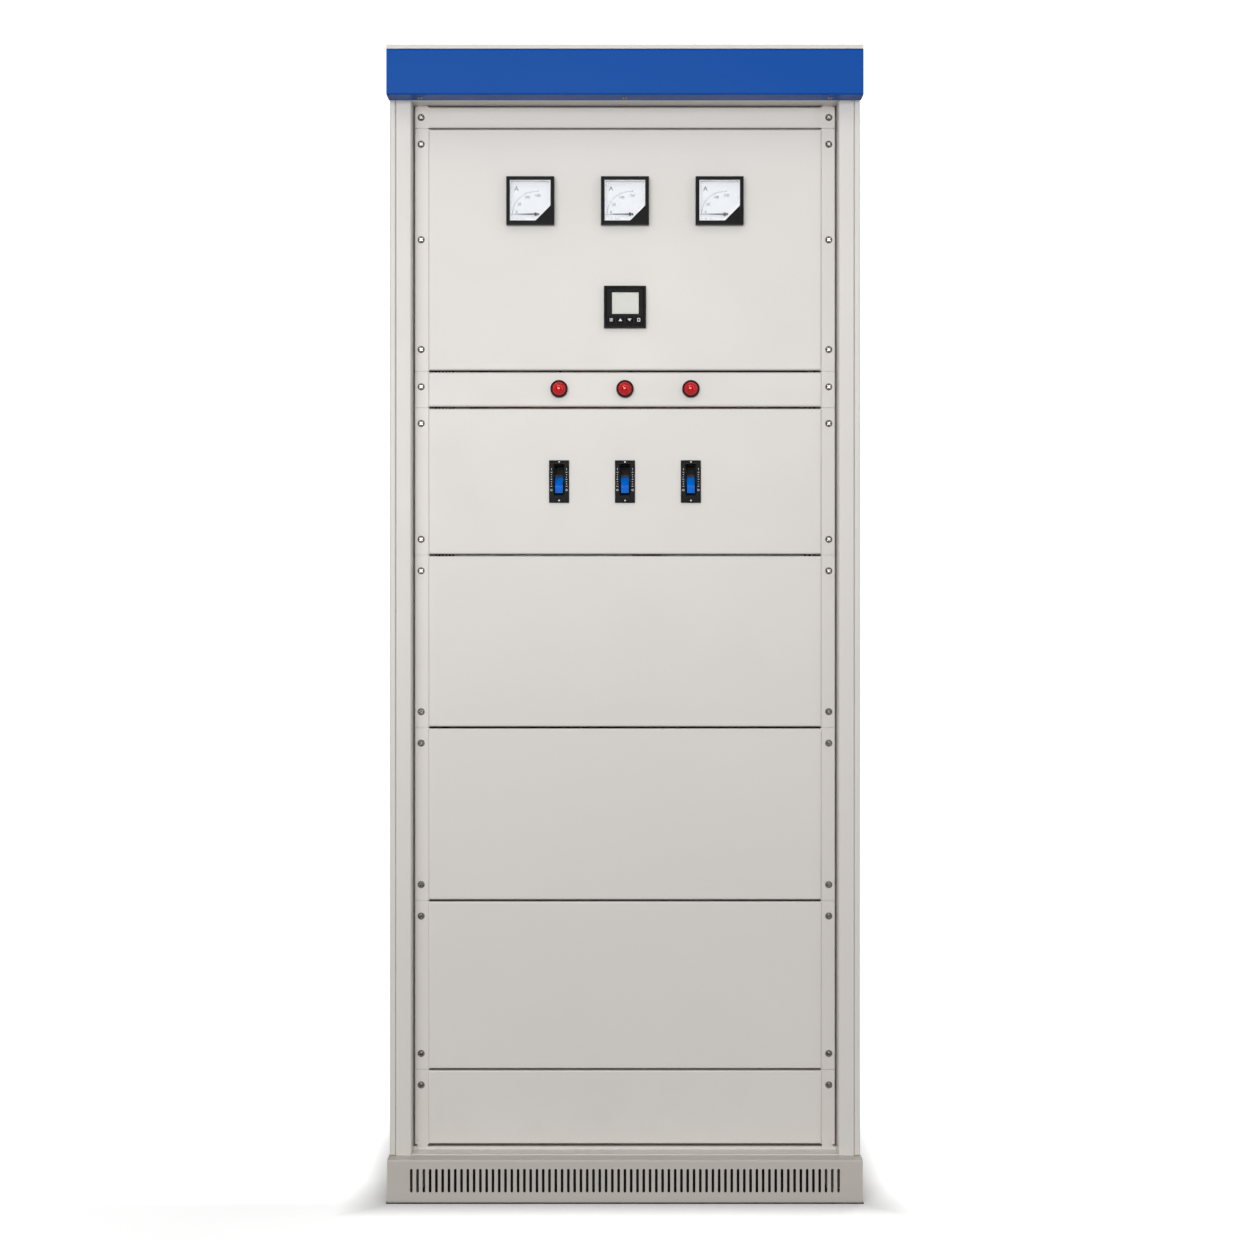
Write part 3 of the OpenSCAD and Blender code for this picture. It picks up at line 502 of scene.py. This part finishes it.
def add_text(mesh, words, x, y, z, size):
    """Adds flat lettering that faces the front, centred on (x, z)."""
    curve = bpy.data.curves.new("lettering", "FONT")
    curve.body = words
    curve.size = size
    curve.align_x = "CENTER"
    curve.align_y = "CENTER"
    holder = bpy.data.objects.new("lettering", curve)
    flat = holder.to_mesh()
    flat.transform(Matrix.Translation((x, y, z)) @ Matrix.Rotation(math.radians(90), 4, "X"))
    mesh.from_mesh(flat)
    holder.to_mesh_clear()
    bpy.data.objects.remove(holder)
    bpy.data.curves.remove(curve)


def place_mesh(name, mesh, material):
    """Turns a bmesh into an object of the scene."""
    data = bpy.data.meshes.new(name)
    mesh.to_mesh(data)
    mesh.free()
    data.materials.append(material)
    placed = bpy.data.objects.new(name, data)
    bpy.context.scene.collection.objects.link(placed)
    return placed


def make_piece(name, mesh, material, body, edge=0.0):
    """Turns a finished bmesh into a smooth piece that rides on a body."""
    bmesh.ops.recalc_face_normals(mesh, faces=mesh.faces)
    piece = place_mesh(name, mesh, material)
    for face in piece.data.polygons:
        face.use_smooth = True
    if edge:
        break_edges(piece, edge)
    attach(piece, body)
    return piece


def make_print(name, mesh, material, body):
    """Ink printed on a surface: thin, flat and facing the front."""
    piece = place_mesh(name, mesh, material)
    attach(piece, body)


def add_bar(mesh, start, end, width, front, back):
    """Adds a straight stroke between two (x, z) points."""
    along = (Vector(end) - Vector(start)).normalized() * (width / 2)
    side = Vector((-along.y, along.x))
    a, b = Vector(start), Vector(end)
    add_prism(mesh, [tuple(p) for p in (a - side, b - side, b + side, a + side)], front, back)


# ---------- where things are ----------

SIDES = ("left", "centre", "right")
JOINTS = {joint["name"]: joint for joint in frame["record"]["behaviour"]["joints"]}
TO_FRONT = Matrix.Rotation(math.radians(90), 4, "X")  # turns a lathe's axis from +Z to -Y
TO_BACK = Matrix.Rotation(math.radians(-90), 4, "X")  # turns a lathe's axis from +Z to +Y


def centre_of(name):
    low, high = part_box(name)
    return (low + high) / 2


# ---------- ammeters ----------

WINDOW = 34.6 * MM  # half-width of a window
SLANT = 43.5 * MM  # x minus z along the black corner's edge
DIAL_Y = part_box("ammeter_dials")[0].y
GLASS_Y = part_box("ammeter_windows")[0].y
AMMETER_Z = centre_of("ammeter_housings").z
PIVOT = Vector((8.5 * MM, -22.5 * MM))  # a needle's pivot, from the middle of its window
TAIL = 6 * MM  # from the pivot to the end of the needle's tail
SWEEP = 96  # degrees from one end of the scale to the other
ARC_R = 39 * MM
ARC_STEPS = 48
TICKS = 30
NUMBERS = 3  # equal steps between the scale's numbers
PRINT = 0.05 * MM  # thickness of printed ink
FINE_LINE, BOLD_LINE = 0.34 * MM, 0.55 * MM
GLASS = 2 * MM  # thickness of a window


def ammeter_x(side):
    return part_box("needle_" + side)[1].x - TAIL - PIVOT.x


def dial_point(x, radius, angle):
    """Point on a dial: angle 0 is level to the left and grows clockwise."""
    a = math.radians(angle)
    return (x + PIVOT.x - radius * math.cos(a), AMMETER_Z + PIVOT.y + radius * math.sin(a))


def window_outline(x, inset):
    """A window's outline, shrunk by an inset."""
    w = WINDOW - inset
    cut = SLANT - inset * math.sqrt(2)
    return [(x + a, AMMETER_Z + b) for a, b in
            ((-w, -w), (cut - w, -w), (w, w - cut), (w, w), (-w, w))]


def scale_print(side):
    """The dial's ink: an arc, ticks, numbers, the unit and the accuracy class."""
    x = ammeter_x(side)
    mesh = bmesh.new()
    front = DIAL_Y - PRINT
    for i in range(ARC_STEPS):
        ends = [dial_point(x, ARC_R, SWEEP * k / ARC_STEPS) for k in (i, i + 1)]
        add_bar(mesh, *ends, FINE_LINE, front, DIAL_Y)
    for i in range(TICKS + 1):
        numbered = i % (TICKS // NUMBERS) == 0
        length = 3.6 * MM if numbered else 2.4 * MM if i % 5 == 0 else 1.2 * MM
        ends = [dial_point(x, ARC_R + out, SWEEP * i / TICKS) for out in (0, length)]
        add_bar(mesh, *ends, BOLD_LINE if numbered else FINE_LINE, front, DIAL_Y)
    for i in range(NUMBERS + 1):
        clear_of_arc = 7 if i == 0 else 0
        at = dial_point(x, ARC_R - 6.5 * MM, SWEEP * i / NUMBERS + clear_of_arc)
        add_text(mesh, str(50 * i), at[0], front, at[1], 6.6 * MM)
    add_text(mesh, "A", x - 24 * MM, front, AMMETER_Z + 21.5 * MM, 11 * MM)
    small_marks = AMMETER_Z - 30 * MM
    add_text(mesh, "2.5", x - 23 * MM, front, small_marks, 3.2 * MM)
    square = [box_outline(x - 15 * MM, small_marks, size, size) for size in (3.2 * MM, 2.6 * MM)]
    add_ring(mesh, *square, front, DIAL_Y)
    stem, foot, top = x - 10 * MM, small_marks - 1.5 * MM, small_marks + 1.5 * MM
    add_bar(mesh, (stem, foot), (stem, top), 0.4 * MM, front, DIAL_Y)
    add_bar(mesh, (stem - 1.4 * MM, foot), (stem + 1.4 * MM, foot), 0.4 * MM, front, DIAL_Y)
    make_print("dial_scale_" + side, mesh, ink_black, "cabinet")


def window_rim(side):
    """The pale acrylic around the dial: a thin rim before the glass and the walls behind it."""
    x = ammeter_x(side)
    mesh = bmesh.new()
    outer = window_outline(x, 0.02 * MM)
    add_ring(mesh, outer, window_outline(x, 0.9 * MM), GLASS_Y - 0.3 * MM, GLASS_Y - 0.02 * MM)
    behind = GLASS_Y + GLASS + 0.05 * MM
    add_ring(mesh, outer, window_outline(x, 0.7 * MM), behind, DIAL_Y - 0.02 * MM)
    make_piece("window_rim_" + side, mesh, acrylic_edge, "cabinet", edge=0.1 * MM)


def needle_cap(side):
    """The boss over the needle's hub and the counterweight on its tail."""
    x = ammeter_x(side) + PIVOT.x
    z = AMMETER_Z + PIVOT.y
    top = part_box("needle_" + side)[0].y
    boss = [(2.6 * MM, 0), (2.6 * MM, 0.5 * MM), (1.9 * MM, 1.0 * MM), (0, 1.1 * MM)]
    weight = box_outline(x + 4.6 * MM, z, 2.6 * MM, 3.2 * MM)
    mesh = bmesh.new()
    add_lathe(mesh, boss, (x, top, z), TO_FRONT)
    add_prism(mesh, weight, top + 1.2 * MM, top + 2.4 * MM)
    make_piece("needle_cap_" + side, mesh, black_gloss, "needle_" + side, edge=0.15 * MM)


def build_ammeters():
    for side in SIDES:
        scale_print(side)
        window_rim(side)
        needle_cap(side)


build_ammeters()


# ---------- power meter ----------

POWER = centre_of("power_meter_housing")
POWER_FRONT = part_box("power_meter_housing")[0].y
POWER_FACE = POWER_FRONT + 1 * MM


def meter_frame_lines():
    """Raised lines on the meter's face: around the display and across the top."""
    screen = centre_of("power_meter_screen")
    outer = box_outline(screen.x, screen.z, 50.5 * MM, 41.5 * MM)
    inner = box_outline(screen.x, screen.z, 48.5 * MM, 39.5 * MM)
    top_line = box_outline(POWER.x, POWER.z + 31.2 * MM, 55 * MM, 0.7 * MM)
    back = POWER_FACE + 0.3 * MM
    mesh = bmesh.new()
    add_ring(mesh, outer, inner, POWER_FACE - 0.5 * MM, back)
    add_prism(mesh, top_line, POWER_FACE - 0.4 * MM, back)
    make_piece("meter_frame_lines", mesh, black_gloss, "cabinet", edge=0.2 * MM)


def screen_bezel():
    """The bevel just inside the display's window, paler than the display: a painted highlight along its
    edge.
    """
    low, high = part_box("power_meter_screen")
    middle = (low + high) / 2
    size = high - low
    rings = [box_outline(middle.x, middle.z, size.x - less, size.z - less)
             for less in (0.2 * MM, 2.6 * MM)]
    mesh = bmesh.new()
    add_ring(mesh, *rings, low.y - 0.3 * MM, low.y - 0.02 * MM)
    make_piece("screen_bezel", mesh, screen_edge_painted_highlight, "cabinet", edge=0.1 * MM)


def button_icons():
    """Plain marks on the buttons: a list, up, down and enter."""
    for i in range(4):
        name = f"meter_button_{i + 1}"
        low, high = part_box(name)
        x = (low.x + high.x) / 2
        z = (low.z + high.z) / 2
        front = low.y - PRINT
        mesh = bmesh.new()
        if i == 0:
            for row in (-2, 0, 2):
                add_prism(mesh, box_outline(x, z + row * MM, 5.4 * MM, 1.1 * MM), front, low.y)
        elif i == 3:
            outer = box_outline(x, z, 5.2 * MM, 6 * MM)
            inner = box_outline(x, z, 2.8 * MM, 3.6 * MM)
            add_ring(mesh, outer, inner, front, low.y)
        else:
            up = 1 if i == 1 else -1
            foot = z - up * 2.2 * MM
            points = [(x - 3.2 * MM, foot), (x + 3.2 * MM, foot), (x, z + up * 2.6 * MM)]
            add_prism(mesh, points[::up], front, low.y)
        make_print(f"button_icon_{i + 1}", mesh, ink_white, name)


meter_frame_lines()
screen_bezel()
button_icons()


# ---------- breakers ----------

ESCUTCHEON = centre_of("breaker_escutcheons")
ESCUTCHEON_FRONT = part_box("breaker_escutcheons")[0].y
SLOT_Z = ESCUTCHEON.z + 2.8 * MM  # middle of the opening


def escutcheon_lines(x, side):
    """A raised line around the opening and one around the edge."""
    front = ESCUTCHEON_FRONT - 0.5 * MM
    back = ESCUTCHEON_FRONT + 0.2 * MM
    around_opening = (SLOT_Z, 22 * MM, 57 * MM, 1.2 * MM)
    around_edge = (ESCUTCHEON.z, 31.6 * MM, 70 * MM, 0.6 * MM)
    mesh = bmesh.new()
    for z, width, height, line in (around_opening, around_edge):
        outer = box_outline(x, z, width, height)
        inner = box_outline(x, z, width - 2 * line, height - 2 * line)
        add_ring(mesh, outer, inner, front, back)
    make_piece("escutcheon_lines_" + side, mesh, black_gloss, "cabinet", edge=0.18 * MM)


def escutcheon_print(x, side):
    """White marks on both sides of the opening: ticks, a bar for on and a ring for off."""
    mesh = bmesh.new()
    front = ESCUTCHEON_FRONT - PRINT
    for hand in (-1, 1):
        column = x + hand * 13 * MM
        for row in range(7):
            width = 1.8 * MM if row % 3 else 2.8 * MM
            tick = box_outline(column, SLOT_Z + (13 - 4 * row) * MM, width, 0.8 * MM)
            add_prism(mesh, tick, front, ESCUTCHEON_FRONT)
        bar = box_outline(column, SLOT_Z + 18.5 * MM, 0.7 * MM, 3.4 * MM)
        add_prism(mesh, bar, front, ESCUTCHEON_FRONT)
        ring = [disc_outline(column, SLOT_Z - 17.5 * MM, radius) for radius in (1.7 * MM, 1.1 * MM)]
        add_ring(mesh, *ring, front, ESCUTCHEON_FRONT)
    make_print("escutcheon_print_" + side, mesh, ink_white, "cabinet")


def toggle_shutter(side):
    """The grooved dust shutter above a handle, which turns with its hub."""
    pivot = Vector(JOINTS["breaker_toggle_" + side]["pos_m"])
    inner, outer, groove = 9.6 * MM, 11.4 * MM, 0.6 * MM
    first, last, steps = 30, 84, 14  # degrees above level
    half_width = 5 * MM

    def around(radius, angle):
        return (pivot.y - radius * math.cos(angle), pivot.z + radius * math.sin(angle))

    arc = [math.radians(first + (last - first) * k / steps) for k in range(steps + 1)]
    outline = [around(outer - groove * (k // 2 % 2), angle) for k, angle in enumerate(arc)]
    outline += [around(inner, angle) for angle in arc[::-1]]
    mesh = bmesh.new()
    add_long(mesh, outline, pivot.x - half_width, pivot.x + half_width, "yzx")
    make_piece("toggle_shutter_" + side, mesh, dark_shutter, "breaker_handle_" + side,
               edge=0.12 * MM)


def build_breakers():
    for side in SIDES:
        toggle_shutter(side)
        x = centre_of("breaker_handle_" + side).x
        escutcheon_lines(x, side)
        escutcheon_print(x, side)


build_breakers()


# ---------- inside ----------

INSULATOR_LOW, INSULATOR_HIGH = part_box("busbar_insulators")
INSULATOR_R = 14 * MM
INSULATOR_ROWS = (INSULATOR_LOW.z + INSULATOR_R, (INSULATOR_LOW.z + INSULATOR_HIGH.z) / 2,
                  INSULATOR_HIGH.z - INSULATOR_R)
INSULATOR_COLUMNS = (INSULATOR_LOW.x + INSULATOR_R, INSULATOR_HIGH.x - INSULATOR_R)
DEVICE_PLATE = 2.5 * MM  # thickness
CASE_BOLTS = (15, 66)  # mm from a breaker's middle to its bolts, across and up
EARTH_BAR = 5 * MM  # thickness
EARTH_BAR_Z = 135 * MM  # height of the bar's holes
CABLE_SLOT = (95 * MM, 190 * MM)  # y of the cable slot's long edges


def build_insulators():
    """Ribbed cast-resin stand-offs between the bars and the device plate."""
    length = INSULATOR_HIGH.y - INSULATOR_LOW.y
    end, waist, rim = 9 * MM, 10 * MM, INSULATOR_R - 0.3 * MM
    ribs = 4
    plain, ribbed = 0.08, 0.84  # parts of the length: before the ribs, and with ribs
    step = length * ribbed / ribs
    profile = [(0, 0), (end, 0)]
    for i in range(ribs):
        start = length * (plain + ribbed * i / ribs)
        profile += [(waist, start), (rim, start + step * 0.3), (rim, start + step * 0.6),
                    (waist, start + step * 0.95)]
    profile += [(end, length), (0, length)]
    mesh = bmesh.new()
    for z in INSULATOR_ROWS:
        for x in INSULATOR_COLUMNS:
            add_lathe(mesh, profile, (x, INSULATOR_LOW.y, z), TO_BACK)
    piece = make_piece("busbar_standoffs", mesh, resin, "cabinet", edge=0.5 * MM)
    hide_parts("busbar_insulators")


def plate_nuts():
    """Nuts on the back of the device plate, on the bolts of everything that it carries."""
    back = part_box("device_plate")[0].y + DEVICE_PLATE
    columns = (*INSULATOR_COLUMNS, centre_of("current_transformers").x)
    spots = [(x, z) for x in columns for z in INSULATOR_ROWS]
    across, up = CASE_BOLTS
    for side in SIDES:
        x = JOINTS["breaker_toggle_" + side]["pos_m"][0]
        spots += [(x + a * MM, ESCUTCHEON.z + b * MM) for a in (-across, across) for b in (-up, up)]
    rail = centre_of("terminal_strip").z
    spots += [(x * MM, rail) for x in (-180, 0, 180)]
    mesh = bmesh.new()
    for x, z in spots:
        add_nut(mesh, (x, back, z), TO_BACK, 5.6 * MM, 4.2 * MM, 2.9 * MM)
    make_piece("plate_nuts", mesh, zinc, "cabinet", edge=0.25 * MM)


def ammeter_terminals():
    """Nuts and washers on the two studs at the back of each ammeter."""
    stud, spread = 14 * MM, 18 * MM  # length of a stud and its distance from the middle
    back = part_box("ammeter_housings")[1].y - stud
    mesh = bmesh.new()
    for side in SIDES:
        middle = ammeter_x(side)
        for x in (middle - spread, middle + spread):
            add_nut(mesh, (x, back, AMMETER_Z), TO_BACK, 4.8 * MM, 3.6 * MM, 2.55 * MM)
    make_piece("ammeter_terminals", mesh, zinc, "cabinet", edge=0.2 * MM)


def power_meter_terminals():
    """Two rows of screw terminals at the back of the power meter."""
    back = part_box("power_meter_housing")[1].y
    pitch = 6.4 * MM
    head = [(2.1 * MM, 0), (2.1 * MM, 0.7 * MM), (1.5 * MM, 1.1 * MM), (0, 1.1 * MM)]
    blocks = bmesh.new()
    screws = bmesh.new()
    for row in (-21, 21):
        z = POWER.z + row * MM
        add_prism(blocks, box_outline(POWER.x, z, 58 * MM, 11 * MM), back - 0.5 * MM, back + 6 * MM)
        for k in range(9):
            x = POWER.x + (k - 4) * pitch
            rib = box_outline(x - pitch / 2, z, 0.8 * MM, 12.4 * MM)
            add_prism(blocks, rib, back, back + 7.4 * MM)
            add_lathe(screws, head, (x, back + 5.9 * MM, z), TO_BACK, 16)
    make_piece("power_meter_terminals", blocks, grey_plastic, "cabinet", edge=0.3 * MM)
    make_piece("power_meter_terminal_screws", screws, steel, "cabinet", edge=0.1 * MM)


def earth_bolts():
    """Hexagon bolts through four of the earth bar's holes, and a nut on its middle stud."""
    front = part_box("earth_bar")[0].y
    back = front + EARTH_BAR
    flange, hexagon = 9 * MM, 7.2 * MM
    head = [(0, 0), (flange, 0), (flange, 1 * MM), (hexagon, 1 * MM), (hexagon, 6 * MM), (0, 6 * MM)]
    mesh = bmesh.new()
    for x in (-280, -140, 140, 280):
        add_nut(mesh, (x * MM, back, EARTH_BAR_Z), TO_BACK, hexagon, 6.5 * MM, 4.1 * MM)
        add_lathe(mesh, head, (x * MM, front, EARTH_BAR_Z), TO_FRONT, 6)
    add_nut(mesh, (0, back, EARTH_BAR_Z), TO_BACK, 9.2 * MM, 8 * MM, 4.9 * MM)
    make_piece("earth_bolts", mesh, zinc, "cabinet", edge=0.3 * MM)


def cable_slot_edging():
    """Rubber edging on both long edges of the cable slot in the floor."""
    low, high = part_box("floor_plates")
    mesh = bmesh.new()
    for edge, hand in zip(CABLE_SLOT, (1, -1)):
        outline = [(edge - hand * 4 * MM, low.z - 2 * MM), (edge + hand * 1 * MM, low.z - 2.4 * MM),
                   (edge + hand * 2.6 * MM, low.z + 0.75 * MM), (edge + hand * 1 * MM, high.z + 2.4 * MM),
                   (edge - hand * 4 * MM, high.z + 2 * MM)]
        add_long(mesh, outline, low.x + 2 * MM, high.x - 2 * MM, "yzx")
    make_piece("cable_slot_edging", mesh, rubber, "cabinet", edge=0.5 * MM)


build_insulators()
plate_nuts()
ammeter_terminals()
power_meter_terminals()
earth_bolts()
cable_slot_edging()


# ---------- rear door ----------

DOOR_LOW, DOOR_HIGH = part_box("rear_door")
DOOR_INSIDE = DOOR_LOW.y + 14.5 * MM  # inner face of the door's sheet
HANDLE = Vector(JOINTS["door_handle_turn"]["pos_m"])
STIFFENERS = (-96 * MM, 84 * MM)  # x of their middles, between the rows of slots
HINGES, HINGE_PITCH = 3, 750 * MM
LEAF = 2.5 * MM  # thickness of a hinge's leaf on the door


def door_outline(inset):
    middle = (DOOR_LOW + DOOR_HIGH) / 2
    size = DOOR_HIGH - DOOR_LOW
    return box_outline(middle.x, middle.z, size.x - 2 * inset, size.z - 2 * inset)


def door_gasket():
    """Foam rubber strip around the inside of the door."""
    mesh = bmesh.new()
    outer, inner = door_outline(7 * MM), door_outline(19 * MM)
    add_ring(mesh, outer, inner, DOOR_INSIDE - 7 * MM, DOOR_INSIDE + 0.2 * MM)
    make_piece("door_gasket", mesh, rubber, "rear_door", edge=2.2 * MM)


def door_stiffeners():
    """Two hat sections up the inside of the door, between its rows of slots."""
    face = DOOR_INSIDE + 0.2 * MM
    hat = ((-19, 0), (-19, 1.4), (-12, 1.4), (-9, 11), (9, 11), (12, 1.4), (19, 1.4), (19, 0))
    mesh = bmesh.new()
    for x in STIFFENERS:
        outline = [(x + a * MM, face - b * MM) for a, b in hat]
        add_long(mesh, outline, DOOR_LOW.z + 30 * MM, DOOR_HIGH.z - 30 * MM, "xyz")
    make_piece("door_stiffeners", mesh, coat_light, "rear_door", edge=0.6 * MM)


def hinge_screws():
    """Pan-head screws through the hinge leaves."""
    pan = [(0, 0), (3.6 * MM, 0), (3.6 * MM, 0.5 * MM), (2.9 * MM, 1.3 * MM)]
    domed = pan + [(1.2 * MM, 1.7 * MM), (0, 1.7 * MM)]
    flat = pan + [(0, 1.3 * MM)]
    door = bmesh.new()
    posts = bmesh.new()
    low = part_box("door_hinges_moving")[0]
    door_face = DOOR_LOW.y + 16 * MM + LEAF
    post_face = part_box("door_hinges_fixed")[0].y + 3 * MM
    for z in (low.z + i * HINGE_PITCH for i in range(HINGES)):
        for x in (9, 22):
            add_lathe(door, domed, (low.x + x * MM, door_face, z + 15 * MM), TO_BACK, 20)
        for rise in (-22, -9):
            add_lathe(posts, flat, (low.x + 19 * MM, post_face, z + rise * MM), TO_BACK, 20)
    make_piece("hinge_screws_door", door, steel, "rear_door", edge=0.2 * MM)
    make_piece("hinge_screws_post", posts, steel, "cabinet", edge=0.2 * MM)


def door_lock():
    """Key cylinder above the handle, with its keyhole."""
    x, y, z = HANDLE.x, DOOR_HIGH.y, HANDLE.z + 52 * MM
    profile = [(0, -0.5 * MM), (11 * MM, -0.5 * MM), (11 * MM, 1.2 * MM), (9.6 * MM, 2.6 * MM),
               (7.6 * MM, 2.6 * MM), (7.2 * MM, 1.9 * MM), (0, 1.9 * MM)]
    mesh = bmesh.new()
    add_lathe(mesh, profile, (x, y, z), TO_BACK, 40)
    make_piece("lock_cylinder", mesh, steel, "rear_door", edge=0.2 * MM)
    hole = bmesh.new()
    add_prism(hole, box_outline(x, z, 1.5 * MM, 8 * MM), y + 1.5 * MM, y + 2.05 * MM)
    make_piece("lock_keyhole", hole, rubber, "rear_door", edge=0.15 * MM)


door_gasket()
door_stiffeners()
hinge_screws()
door_lock()


# ---------- studio ----------


def add_stage(name, mesh, material, casts_shadow=True):
    """Turns a bmesh into a part of the studio, which sends no light back onto the cabinet."""
    sheet = place_mesh(name, mesh, material)
    sheet.visible_diffuse = False
    sheet.visible_glossy = False
    sheet.visible_shadow = casts_shadow
    return sheet


def build_stage():
    """A round white floor, with painted light in its glow and a painted contact shadow at the cabinet, and
    a white wall all round it.
    """
    white = studio("studio_white_painted_shadow", (0.93, 0.93, 0.93), 0.8)
    radius, height = 12, 12
    floor = bmesh.new()
    add_lathe(floor, [(0, 0), (radius / 2, 0), (radius, 0)], (0, 0, 0), sides=64)
    add_stage("studio_floor", floor, white)
    wall = bmesh.new()
    add_lathe(wall, [(radius, -0.5), (radius, height), (0, height * 1.4)], (0, 0, 0), sides=64)
    add_stage("studio_wall", wall, white, casts_shadow=False)


def build_dark_card():
    """A black card behind the camera, which only glossy surfaces see: it deepens blacks and reds."""
    mesh = bmesh.new()
    corners = ((-9, -2), (9, -2), (9, 8), (-9, 8))
    mesh.faces.new([mesh.verts.new((x, -9, z)) for x, z in corners])
    card = add_stage("dark_card", mesh, rubber, casts_shadow=False)
    card.visible_camera = False
    card.visible_glossy = True


def build_shade():
    """Black paper under the cabinet, a painted shadow: it keeps the inside dark and draws a painted
    contact shadow along the front.
    """
    x = cad_high.x + 1.5 * MM
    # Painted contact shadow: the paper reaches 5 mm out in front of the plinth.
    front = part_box("plinth_grille")[0].y - 5 * MM
    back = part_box("plinth_channels")[1].y
    mesh = bmesh.new()
    z = 0.15 * MM  # just above the floor
    corners = ((-x, front, z), (x, front, z), (x, back, z), (-x, back, z))
    mesh.faces.new([mesh.verts.new(corner) for corner in corners])
    paper = add_stage("shade_paper", mesh, rubber)
    paper.visible_diffuse = True


def area_light(name, place, target, size, power):
    """A rectangular white softbox that looks at a target."""
    lamp = bpy.data.lights.new(name, "AREA")
    lamp.shape = "RECTANGLE"
    lamp.size, lamp.size_y = size
    lamp.energy = power
    holder = bpy.data.objects.new(name, lamp)
    holder.location = place
    holder.rotation_euler = (Vector(target) - Vector(place)).to_track_quat("-Z", "Y").to_euler()
    bpy.context.scene.collection.objects.link(holder)


def build_lights():
    world = bpy.data.worlds.new("studio")
    world.use_nodes = True
    background = world.node_tree.nodes["Background"].inputs
    background["Color"].default_value = (1, 1, 1, 1)
    background["Strength"].default_value = 0.27
    bpy.context.scene.world = world
    area_light("top_softbox", (-0.3, -2.5, 3.9), (0, -0.3, 0.9), (3.0, 0.9), 12)
    area_light("front_softbox", (-0.8, -5.6, 1.9), (0, 0, 0.9), (3.4, 2.0), 136)
    area_light("header_fill", (0.4, -3.4, 2.0), (0, 0, 2.0), (1.6, 0.4), 6)
    area_light("right_fill", (3.6, -3.4, 1.6), (0, 0, 0.9), (1.2, 2.2), 13)
    area_light("glint_left", (-1.5, -2.7, 3.1), (0, -0.25, 1.4), (0.4, 0.4), 4)
    area_light("glint_right", (1.7, -2.0, 2.9), (0, -0.25, 1.4), (0.25, 0.25), 3)
    area_light("rear_fill", (2.5, 4.5, 3.5), (0, 0.3, 1.0), (2.5, 2.5), 60)


def build_camera():
    """The camera: level, square on and four metres in front of the posts."""
    distance, height, aside = 4.0, 0.972, 0.0035
    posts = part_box("post_front_left")[0].y
    lens = bpy.data.cameras.new("camera")
    lens.lens = 67.5
    lens.sensor_width = 36
    lens.clip_end = 60
    camera = bpy.data.objects.new("camera", lens)
    camera.location = (aside, posts - distance, height)
    camera.rotation_euler = (math.radians(90), 0, 0)
    bpy.context.scene.collection.objects.link(camera)
    bpy.context.scene.camera = camera


build_stage()
build_shade()
build_dark_card()
build_lights()
build_camera()
bpy.context.scene.view_settings.view_transform = "Standard"
